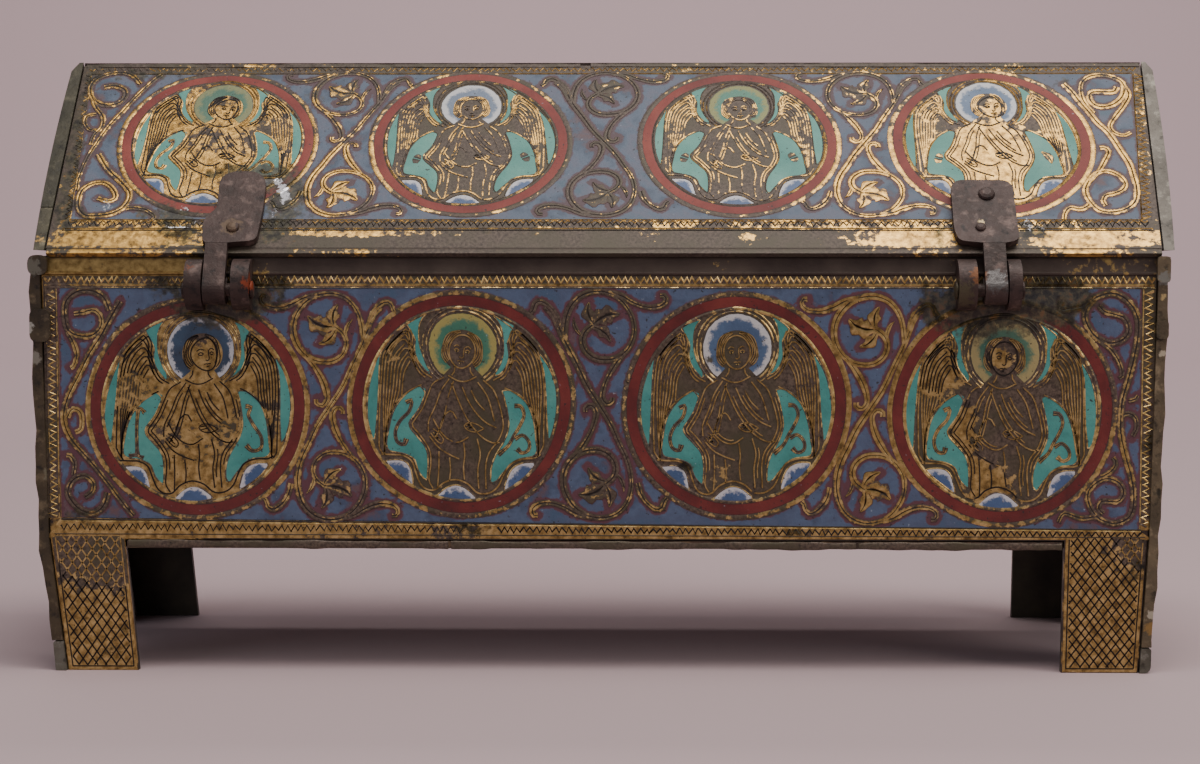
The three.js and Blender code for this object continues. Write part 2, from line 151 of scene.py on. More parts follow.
def onFront(u, v, w):
    # u to the right, v up, w out of the front panel
    return np.column_stack([midX + u, midY - caseFrame["face"] - w, v]) * mm


def onBack(u, v, w):
    return np.column_stack([midX - u, midY + caseFrame["face"] + w, v]) * mm


def onSlope(u, v, w):
    # v climbs the front slope from its lower edge, w stands square to it
    y = -caseFrame["face"] + v * math.cos(slopeAngle) - w * math.sin(slopeAngle)
    z = caseFrame["lidBase"] + v * math.sin(slopeAngle) + w * math.cos(slopeAngle)
    return np.column_stack([midX + u, midY + y, z]) * mm


def onBackSlope(u, v, w):
    y = caseFrame["face"] - v * math.cos(slopeAngle) + w * math.sin(slopeAngle)
    z = caseFrame["lidBase"] + caseFrame["ridgeStep"] + v * math.sin(slopeAngle) + w * math.cos(slopeAngle)
    return np.column_stack([midX - u, midY + y, z]) * mm


print("surface tools")


def smoothPath(points, step=0.75, closed=False):
    # Catmull-Rom curve through the points, then points set at even steps along it
    points = np.asarray(points, float)
    if closed:
        extended = np.vstack([points[-1:], points, points[:2]])
    else:
        extended = np.vstack([2 * points[0] - points[1], points, 2 * points[-1] - points[-2]])
    p0, p1, p2, p3 = (extended[i:len(extended) - 3 + i, None] for i in range(4))
    t = np.linspace(0, 1, 13)[None, :-1, None]
    curve = 0.5 * (2 * p1 + (p2 - p0) * t + (2 * p0 - 5 * p1 + 4 * p2 - p3) * t ** 2
                   + (3 * p1 - p0 - 3 * p2 + p3) * t ** 3)
    curve = np.vstack([curve.reshape(-1, 2), points[:1] if closed else points[-1:]])
    along = np.r_[0, np.cumsum(np.hypot(*np.diff(curve, axis=0).T))]
    count = max(4, int(round(along[-1] / step)) + 1)
    at = np.linspace(0, along[-1], count)
    even = np.column_stack([np.interp(at, along, curve[:, k]) for k in (0, 1)])
    return even[:-1] if closed else even


def circlePath(centre, radius, step, start=0.0, end=360.0):
    # points at even angles, radius from the centre; a full turn leaves out its last point
    count = max(6, int(abs(math.radians(end - start)) * radius / step))
    angle = np.radians(np.linspace(start, end, count + 1))
    angle = angle[:-1] if end - start == 360.0 else angle
    return np.column_stack([centre[0] + radius * np.cos(angle), centre[1] + radius * np.sin(angle)])


def ruled(left, right, shares, heights, closed=False, across=None, gilding=0.5):
    # row i, column j: left_i + share_j * (right_i - left_i) at height_j; a closed section, capped at its ends
    shares = np.asarray(shares, float)
    points = left[:, None] + shares[None, :, None] * (right - left)[:, None]
    rows, columns = points.shape[:2]
    index = np.arange(rows * columns).reshape(rows, columns)
    side = index if closed else index[:-1]
    upper = np.roll(index, -1, 0) if closed else index[1:]
    quads = np.stack([side, np.roll(side, -1, 1), np.roll(upper, -1, 1), upper], -1).reshape(-1, 4)
    caps = [] if closed else [index[0][::-1], index[-1]]
    turn = np.cross((right - left)[:-1], np.diff(left + right, axis=0)).sum()
    if turn < 0:
        quads = quads[:, ::-1]
        caps = [cap[::-1] for cap in caps]

    def spread(values):
        # one value, one for each column, one for each row, or one for each point
        values = np.asarray(values, float)
        values = values[:, None] if values.shape == (rows,) else values
        return np.broadcast_to(values, (rows, columns)).ravel()

    return {"uv": points.reshape(-1, 2), "w": spread(heights), "quads": quads, "caps": caps,
            "across": spread(shares * 2 - 1 if across is None else across),
            "edge": (np.minimum(shares, 1 - shares)[None] * np.hypot(*(right - left).T)[:, None]).ravel(),
            "gilding": spread(gilding)}


def bandSides(path, half, closed=False):
    # the two edges of a band: the path moved half its width along its normal, to each side
    ahead = np.roll(path, -1, 0) - np.roll(path, 1, 0)
    if not closed:
        ahead[0], ahead[-1] = path[1] - path[0], path[-1] - path[-2]
    ahead = ahead / np.maximum(np.hypot(*ahead.T), 1e-9)[:, None]
    normal = np.column_stack([-ahead[:, 1], ahead[:, 0]])
    half = np.broadcast_to(np.asarray(half, float), len(path))[:, None]
    return path + normal * half, path - normal * half


# sections of a band: shares of its width, and heights; -1 is sunk below the base, 0 to 1 stand above it
scrollSection = {"shares": [0, 0, 0.22, 0.43, 0.5, 0.57, 0.78, 1, 1],
                 "rises": [-1, 0.35, 1, 0.8, 0.3, 0.8, 1, 0.35, -1]}
lineSection = {"shares": [0, 0, 0.5, 1, 1], "rises": [-1, 0.2, 1, 0.2, -1]}
cutSection = {"shares": [0, 0, 1, 1], "rises": [-1, 0.7, 0.7, -1]}
sunk = 0.1
# how a ridged line counts across its width, from its rims to its dark middle
ridged = (1, 0.7, 0.4, 0.7, 1)


def band(path, half, base, rise, section=scrollSection, closed=False, **more):
    left, right = bandSides(path, half, closed)
    rises = np.asarray(section["rises"])
    heights = np.where(rises < 0, base - sunk, base + rises * rise)
    return ruled(left, right, section["shares"], heights, closed, **more)


def patch(left, right, base, rise, columns=9, oneSided=False, **more):
    # a filled cell between two boundary curves, brought to the same number of rows
    rows = max(len(left), len(right))
    at = np.linspace(0, 1, rows)
    left, right = (np.column_stack([np.interp(at, np.linspace(0, 1, len(c)), c[:, k]) for k in (0, 1)])
                   for c in (left, right))
    inner = np.linspace(0, 1, columns)
    shares = np.r_[0, inner, 1]
    heights = np.r_[base - sunk, base + rise * (1 - (2 * inner - 1) ** 4), base - sunk]
    made = ruled(left, right, shares, heights, **more)
    if oneSided:
        # the colour changes from the first curve inwards
        made["edge"] = (shares[None] * np.hypot(*(right - left).T)[:, None]).ravel()
    return made


def warped(uv, warp):
    # a slow waviness, as in hand-cut work: sines of the place, the same for all that lies there
    amount, pitch, phase = warp
    u, v = uv[:, 0] / pitch, uv[:, 1] / pitch
    return uv + amount * np.column_stack([np.sin(v * 1.3 + phase) + 0.6 * np.sin(u * 2.1 + 2 * phase),
                                          np.sin(u * 1.1 + 3 * phase) + 0.6 * np.sin(v * 2.3 + phase)])


def spotted(uv, spots):
    # the sum of soft round spots: each is u, v, its reach along both, and its strength
    level = np.zeros(len(uv))
    for u, v, wide, high, strength in spots:
        level += strength * np.exp(-((uv[:, 0] - u) / wide) ** 2 - ((uv[:, 1] - v) / high) ** 2)
    return level


sharpAngle = math.radians(38)


def makePiece(name, parts, panel, material, still=False):
    # all parts as one mesh on its panel, wavy unless still, with the values that its material reads
    offsets = np.cumsum([0] + [len(part["uv"]) for part in parts])
    uv = np.vstack([part["uv"] for part in parts])
    uv = uv if still else warped(uv, panel["warp"])
    w = np.concatenate([part["w"] for part in parts])
    quads = np.vstack([part["quads"] + start for part, start in zip(parts, offsets)])
    caps = [cap + start for part, start in zip(parts, offsets) for cap in part["caps"]]
    data = bpy.data.meshes.new(name)
    data.vertices.add(len(uv))
    data.vertices.foreach_set("co", panel["place"](uv[:, 0], uv[:, 1], w).astype(np.float32).ravel())
    loops = np.concatenate([quads.ravel()] + caps) if caps else quads.ravel()
    sizes = np.r_[np.full(len(quads), 4), [len(cap) for cap in caps]].astype(np.int32)
    data.loops.add(len(loops))
    data.loops.foreach_set("vertex_index", loops.astype(np.int32))
    data.polygons.add(len(sizes))
    data.polygons.foreach_set("loop_start", (np.cumsum(sizes) - sizes).astype(np.int32))
    data.update(calc_edges=True)
    kept = {label: np.concatenate([part[label] for part in parts]) for label in ("across", "edge", "gilding")}
    kept["stain"], kept["chalk"] = spotted(uv, panel["stains"]), spotted(uv, panel["chalk"])
    for label, values in kept.items():
        data.attributes.new(label, "FLOAT", "POINT").data.foreach_set("value", values.astype(np.float32))
    data.shade_smooth()
    data.set_sharp_from_angle(angle=sharpAngle)
    data.materials.append(material)
    piece = bpy.data.objects.new(name, data)
    bpy.context.scene.collection.objects.link(piece)
    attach(piece, panel["body"])


print("metal and enamel")


def blots(size):
    # noise scale whose blots are about as wide as size, in mm
    return 500 / size


def finishMaterial(add, inputs, relief, strength, depth):
    # the shader over a fine bump, its depth in mm
    height = add("Math", {0: relief[0], 1: relief[1]}, operation="ADD")
    bump = add("Bump", {"Height": height, "Strength": strength, "Distance": depth * mm})
    add("OutputMaterial", {"Surface": add("BsdfPrincipled", {**inputs, "Normal": bump})})


# grease, green-brown dirt and white corrosion that lie over the finishes, most of all beside the iron
def weathered(add, place, fine, color):
    stain = add("Attribute", output="Fac", attribute_name="stain")
    chalk = add("Attribute", output="Fac", attribute_name="chalk")
    damp = add("TexNoise", {"Vector": place, "Scale": blots(1.5), "Detail": 5.0, "Roughness": 0.7})
    damp = add("MapRange", {0: damp, 3: -1.0, 4: 1.0})
    spread = add("Math", {0: stain, 1: damp}, operation="ADD")
    cover = add("MapRange", {0: spread, 1: 0.3, 2: 0.7, 4: 0.92}, interpolation_type="SMOOTHSTEP")
    dirt = add("ValToRGB", {0: fine},
               ramp=[(0.36, "#15120d"), (0.47, "#2c281b"), (0.56, "#45412e"), (0.66, "#5a4228")])
    color = add("Mix", {0: cover, 6: color, 7: dirt}, 2, data_type="RGBA")
    sharp = add("TexNoise", {"Vector": place, "Scale": blots(0.5), "Detail": 6.0, "Roughness": 0.75})
    ragged = add("MapRange", {0: sharp, 3: -2.4, 4: 2.4})
    crust = add("Math", {0: chalk, 1: 1.4, 2: ragged}, operation="MULTIPLY_ADD")
    crust = add("MapRange", {0: crust, 1: 1.35, 2: 1.6, 4: 0.9})
    return add("Mix", {0: crust, 6: color, 7: "#c6c6cb"}, 2, data_type="RGBA")


# fire-gilt copper: soft yellow gold where the gilding is left, purple-brown copper where it has rubbed off
def makeGilding(name, grooved, gold, worn):
    material, add = newMaterial(name)
    place = add("TexCoord", output="Object")
    fine, broad, grain = (
        add("TexNoise", {"Vector": place, "Scale": blots(size), "Detail": detail, "Roughness": 0.6})
        for size, detail in ((0.7, 4.0), (5.0, 3.0), (0.3, 2.0)))
    gilding = add("Attribute", output="Fac", attribute_name="gilding")
    across = add("Attribute", output="Fac", attribute_name="across")
    across = add("Math", {0: across}, operation="ABSOLUTE")
    rubbed = add("Math", {0: add("MapRange", {0: fine, 3: -0.7, 4: 0.7}),
                          1: add("MapRange", {0: broad, 3: -0.5, 4: 0.5})}, operation="ADD")
    level = add("Math", {0: gilding, 1: rubbed}, operation="ADD")
    if grooved:
        # traces of gold stay longest beside the engraved middle line
        near = add("Math", {0: across, 1: 0.42}, operation="SUBTRACT")
        near = add("Math", {0: near}, operation="ABSOLUTE")
        near = add("MapRange", {0: near, 1: 0.3, 2: 0.05, 4: 0.2})
        level = add("Math", {0: level, 1: near}, operation="ADD")
    left = add("MapRange", {0: level, 1: 0.42, 2: 0.56}, interpolation_type="SMOOTHSTEP")
    copper = add("ValToRGB", {0: grain}, ramp=[(0.36, worn[0]), (0.64, worn[1])])
    tarnish = add("MapRange", {0: broad, 1: 0.42, 2: 0.62})
    copper = add("Mix", {0: tarnish, 6: copper, 7: worn[2]}, 2, data_type="RGBA")
    leaf = add("ValToRGB", {0: fine}, ramp=[(0.32, gold[0]), (0.48, gold[1]), (0.66, gold[2])])
    color = add("Mix", {0: left, 6: copper, 7: leaf}, 2, data_type="RGBA")
    if grooved:
        groove = add("MapRange", {0: across, 1: 0.2, 2: 0.06})
        color = add("Mix", {0: groove, 6: color, 7: "#1c1410"}, 2, data_type="RGBA")
        rim = add("MapRange", {0: across, 1: 0.82, 2: 0.98, 4: 0.8})
        color = add("Mix", {0: rim, 6: color, 7: "#432628"}, 2, data_type="RGBA")
    pits = add("MapRange", {0: grain, 1: 0.31, 2: 0.26})
    color = add("Mix", {0: pits, 6: color, 7: "#1d1713"}, 2, data_type="RGBA")
    color = weathered(add, place, fine, color)
    finishMaterial(add, {"Base Color": color, "Metallic": add("MapRange", {0: left, 3: 0.4, 4: 0.92}),
                         "Roughness": add("MapRange", {0: left, 3: 0.55, 4: 0.36})}, (fine, grain), 0.35, 0.12)
    return material


# opaque glass fused into a cut cell: dull gloss, pits, painted glints in small pale specks, and red-brown oxide where
# it meets the copper
def makeEnamel(name, colors, oxide, oxideWidth, second=None, roughness=0.45):
    material, add = newMaterial(name)
    place = add("TexCoord", output="Object")
    fine, broad, grain = (
        add("TexNoise", {"Vector": place, "Scale": blots(size), "Detail": detail, "Roughness": rough})
        for size, detail, rough in ((0.7, 4.0, 0.65), (4.5, 4.0, 0.6), (0.35, 1.0, 0.5)))
    edge = add("Attribute", output="Fac", attribute_name="edge")
    ragged = add("MapRange", {0: fine, 3: -oxideWidth * 1.3, 4: oxideWidth * 1.3})
    edge = add("Math", {0: edge, 1: ragged}, operation="ADD")
    stops = [(0.3 + 0.36 * i / (len(colors) - 1), code) for i, code in enumerate(colors)]
    color = add("ValToRGB", {0: broad}, ramp=stops)
    if second:
        # a second colour lies along the cell's first edge
        uneven = add("MapRange", {0: fine, 3: -1.6, 4: 1.6})
        depth = add("Math", {0: edge, 1: uneven}, operation="ADD")
        far = add("MapRange", {0: depth, 1: second["from"], 2: second["to"]},
                  interpolation_type="SMOOTHSTEP")
        color = add("Mix", {0: far, 6: second["color"], 7: color}, 2, data_type="RGBA")
    clean = add("MapRange", {0: edge, 1: oxideWidth * 0.3, 2: oxideWidth}, interpolation_type="SMOOTHSTEP")
    color = add("Mix", {0: clean, 6: oxide, 7: color}, 2, data_type="RGBA")
    pits = add("MapRange", {0: grain, 1: 0.29, 2: 0.24, 4: 0.85})
    color = add("Mix", {0: pits, 6: color, 7: "#1c1a1c"}, 2, data_type="RGBA")
    # painted glints: small pale blue-white specks where the finest noise is highest, standing in for highlights on
    # the glass
    glintSpecks = add("MapRange", {0: grain, 1: 0.76, 2: 0.84, 4: 0.4})
    color = add("Mix", {0: glintSpecks, 6: color, 7: "#aab4c2"}, 2, data_type="RGBA")
    color = weathered(add, place, fine, color)
    finishMaterial(add, {"Base Color": color, "Roughness": roughness, "IOR": 1.52}, (fine, grain), 0.3, 0.15)
    return material


bodyMetal = {"gold": ("#725c38", "#a88c56", "#ceb27a"), "worn": ("#433730", "#66574b", "#4c4535")}
lidMetal = {"gold": ("#5f4826", "#9c7a44", "#c8a05a"), "worn": ("#3a302a", "#54483f", "#443d31")}
enamels = {
    "blue": {"colors": ("#5a4348", "#3c4860", "#4b5a74", "#455069", "#3d5069"), "oxide": "#56323a",
             "oxideWidth": 0.6},
    "turquoise": {"colors": ("#2f726c", "#3f8680", "#4f938a"), "oxide": "#2a3a34", "oxideWidth": 0.16},
    "red": {"colors": ("#481413", "#5e1c1a", "#702a24"), "oxide": "#3a1616", "oxideWidth": 0.16, "roughness": 0.4},
}
# the lid's enamels are paler and duller
lidEnamels = {
    "blue": {"colors": ("#554348", "#3d4a5c", "#4d5a6c", "#565a6a", "#465868"), "oxide": "#4a343a", "oxideWidth": 0.6,
             "roughness": 0.62},
    "turquoise": {"colors": ("#3f7e74", "#508c80", "#62988a"), "oxide": "#2f3d36", "oxideWidth": 0.16,
                  "roughness": 0.6},
    "red": {"colors": ("#62201a", "#762a22", "#84382c"), "oxide": "#3a1c16", "oxideWidth": 0.16, "roughness": 0.66},
}


def makeFinish(prefix, metal, colors):
    finish = {"work": makeGilding(prefix + "gilt_copper_engraved", True, **metal),
              "plate": makeGilding(prefix + "gilt_copper_plate", False, **metal)}
    return finish | {name: makeEnamel(f"{prefix}{name}_enamel", **look) for name, look in colors.items()}


bodyFinish, lidFinish = makeFinish("", bodyMetal, enamels), makeFinish("lid_", lidMetal, lidEnamels)
giltWork, giltPlate = bodyFinish["work"], bodyFinish["plate"]
cloudEnamel = makeEnamel("cloud_enamel", ("#364c70", "#465d84"), "#5a4038", 0.14,
                         {"from": 0.55, "to": 1.3, "color": "#bcbbbf"}, 0.55)


# a copper plate: one finish on its outer face with traces of gilding, bare dark copper inside and on its edges
def makePlate(name, outward, faceAt, levelStops, gold=("#6e5835", "#b3935a")):
    material, add = newMaterial(name)
    place = add("TexCoord", output="Object")
    fine, broad = (add("TexNoise", {"Vector": place, "Scale": blots(size), "Detail": 4.0, "Roughness": 0.6})
                   for size in (0.8, 6.0))
    height = add("VectorMath", {0: place, 1: outward}, "Value", operation="DOT_PRODUCT")
    outside = add("MapRange", {0: height, 1: (faceAt - 0.75) * mm, 2: (faceAt - 0.45) * mm})
    along = add("SeparateXYZ", {0: place}, "X")
    share = add("MapRange", {0: along, 1: -caseFrame["halfLength"] * mm, 2: caseFrame["halfLength"] * mm})
    stops = [(at, "#%02x%02x%02x" % ((int(255 * level),) * 3)) for at, level in levelStops]
    # how much gilding is left along the plate's length; on the front plate this also holds painted shade where the
    # lid's shadow falls on the rim band
    kept = add("ValToRGB", {0: share}, ramp=stops)
    rubbed = add("Math", {0: add("MapRange", {0: fine, 3: -0.5, 4: 0.5}),
                          1: add("MapRange", {0: broad, 3: -0.9, 4: 0.9})}, operation="ADD")
    level = add("Math", {0: kept, 1: rubbed}, operation="ADD")
    left = add("MapRange", {0: level, 1: 0.42, 2: 0.6}, interpolation_type="SMOOTHSTEP")
    left = add("Math", {0: left, 1: outside}, operation="MULTIPLY")
    copper = add("ValToRGB", {0: broad}, ramp=[(0.35, "#382c27"), (0.65, "#4e423a")])
    leaf = add("ValToRGB", {0: fine}, ramp=[(0.32, gold[0]), (0.66, gold[1])])
    bare = add("ValToRGB", {0: broad}, ramp=[(0.32, "#231f19"), (0.66, "#40392d")])
    face = add("Mix", {0: left, 6: copper, 7: leaf}, 2, data_type="RGBA")
    color = add("Mix", {0: outside, 6: bare, 7: face}, 2, data_type="RGBA")
    color = weathered(add, place, fine, color)
    finishMaterial(add, {"Base Color": color, "Metallic": add("MapRange", {0: left, 3: 0.4, 4: 0.9}),
                         "Roughness": add("MapRange", {0: left, 3: 0.56, 4: 0.38})}, (fine, broad), 0.4, 0.2)
    return material


# unworked metal under a brown or grey-green patina, with local spots of rust, solder, corrosion or gold
def makePatina(name, colors, metallic=0.3, spots=()):
    material, add = newMaterial(name)
    place = add("TexCoord", output="Object")
    fine, broad, patches = (
        add("TexNoise", {"Vector": place, "Scale": blots(size), "Detail": detail, "Roughness": rough})
        for size, detail, rough in ((0.5, 4.0, 0.65), (4.0, 5.0, 0.6), (1.6, 4.0, 0.65)))
    color = add("ValToRGB", {0: broad}, ramp=[(0.36, colors[0]), (0.62, colors[1])])
    lighter = add("MapRange", {0: patches, 1: 0.54, 2: 0.68})
    color = add("Mix", {0: lighter, 6: color, 7: colors[2]}, 2, data_type="RGBA")
    darker = add("MapRange", {0: patches, 1: 0.42, 2: 0.3})
    color = add("Mix", {0: darker, 6: color, 7: colors[3]}, 2, data_type="RGBA")
    roughness = add("MapRange", {0: fine, 3: 0.4, 4: 0.75})
    for spot in spots:
        # a spot fades out with distance from its middle, ragged by the noise
        away = add("VectorMath", {0: place, 1: [c * mm for c in spot["at"]]}, "Value", operation="DISTANCE")
        away = add("Math", {0: away, 1: 1 / (spot["reach"] * mm)}, operation="MULTIPLY")
        ragged = add("MapRange", {0: fine, 3: -1.1, 4: 1.1})
        away = add("Math", {0: away, 1: ragged}, operation="ADD")
        here = add("MapRange", {0: away, 1: 0.95, 2: 0.65})
        color = add("Mix", {0: here, 6: color, 7: spot["color"]}, 2, data_type="RGBA")
        roughness = add("Mix", {0: here, 2: roughness, 3: spot.get("roughness", 0.6)}, 0)
    finishMaterial(add, {"Base Color": color, "Metallic": metallic, "Roughness": roughness}, (fine, patches), 0.5,
                   0.25)
    return material


print("scrollwork")
levels = {"ground": 0.08, "metal": 0.1, "rise": 0.12, "cell": 0.13, "line": 0.2}

# one gap between two roundels: a stem on the diagonal, a ring with leaves at each end, and curled offshoots
# points in mm from the gap's middle; the other half is the same turned half round
scrollDesign = {
    "stem": [(10.6, 19.9), (9.0, 18.0), (7.9, 15.4), (6.8, 12.7), (5.4, 10.0), (4.1, 7.4), (2.5, 4.0), (0.0, 0.0),
             (-2.5, -4.0), (-4.1, -7.4), (-5.4, -10.0), (-6.3, -13.0), (-6.5, -16.2), (-5.7, -19.4), (-3.9, -21.6),
             (-1.4, -22.7), (1.2, -22.7), (3.6, -21.8), (5.6, -19.9), (6.9, -17.3), (7.1, -14.4), (6.1, -11.8),
             (4.2, -9.9), (1.8, -9.1), (-0.8, -9.3), (-2.7, -10.7), (-3.4, -12.7), (-2.8, -14.6), (-1.2, -16.0)],
    "otherRing": [(6.9, 12.9), (6.6, 16.6), (5.7, 19.4), (3.9, 21.6), (1.4, 22.7), (-1.2, 22.7), (-3.6, 21.8),
                  (-5.6, 19.9), (-6.9, 17.3), (-7.1, 14.4), (-6.1, 11.8), (-4.2, 9.9), (-1.8, 9.1), (0.8, 9.3),
                  (2.7, 10.7), (3.4, 12.7), (2.8, 14.6), (1.2, 16.0)],
    "topShoot": [(-1.6, 22.6), (-4.6, 22.0), (-7.2, 20.6), (-9.8, 19.8), (-12.2, 20.0), (-13.5, 21.0), (-13.3, 22.1),
                 (-12.4, 22.2)],
    "sideShoot": [(-4.9, 10.6), (-3.0, 8.0), (-1.5, 5.4), (-0.7, 3.0), (-0.6, 1.3), (-1.5, 0.2), (-2.6, 0.6),
                  (-2.7, 1.5)],
    "forkShoot": [(7.8, 15.6), (8.4, 17.8), (9.6, 19.6), (11.4, 20.9), (12.6, 20.5), (13.0, 19.3), (13.6, 18.6)],
    "leaves": [((1.2, 16.0), (-4.2, 18.2), 2.2, 3), ((1.0, 16.0), (1.9, 20.6), 1.4, 2),
               ((1.4, 15.6), (-2.2, 12.6), 1.3, 2),
               ((3.3, 13.6), (4.9, 17.6), 0.55, 0)],
    "half": 0.78,
}


def leafBand(base, tip, wide, lobes, **more):
    # a leaf: half width swells as a sine along its length, with a wave for each lobe
    base, tip = np.asarray(base, float), np.asarray(tip, float)
    way = tip - base
    bend = np.array([-way[1], way[0]]) * 0.12
    path = smoothPath([base, base + way * 0.35 + bend, base + way * 0.7 + bend, tip], 0.45)
    t = np.linspace(0, 1, len(path))
    half = wide * (0.28 + 0.72 * np.sin(np.pi * np.clip(t * 0.95, 0, 1)) ** 1.2) * (1 - 0.75 * t ** 6)
    half = half * (1 + 0.22 * np.cos(2 * np.pi * t * lobes)) if lobes else half
    return band(path, half, levels["metal"], levels["rise"], **more)


def scrollParts(centre, size, mirrored, gildingAt):
    # the design above, mirrored where the stem leans the other way, and its half-turn partners
    parts, spine = [], []
    flip = np.array([-1.0, 1.0]) if mirrored else np.array([1.0, 1.0])
    scale = np.array(size) * flip
    for label in ("stem", "otherRing", "topShoot", "sideShoot", "forkShoot"):
        for turn in ((1,) if label in ("stem", "otherRing") else (1, -1)):
            path = smoothPath(np.array(scrollDesign[label]) * turn * scale + centre)
            t = np.linspace(0, 1, len(path))
            half = scrollDesign["half"] * (0.86 + 0.14 * np.sin(t * 9 + centre[0]))
            half = half * np.clip(1.35 - 0.5 * t, 0.8, 1) if "Shoot" in label else half
            parts.append(band(path, half, levels["metal"], levels["rise"], gilding=gildingAt(path)))
            spine.append(path)
    for base, tip, wide, lobes in scrollDesign["leaves"]:
        for turn in (1, -1):
            start, end = (np.array(p) * turn * scale + centre for p in (base, tip))
            path = np.array([start, end])
            parts.append(leafBand(start, end, wide * 0.9, lobes, gilding=float(gildingAt(path).mean())))
            spine.append(smoothPath(path, 0.5))
    return parts, spine


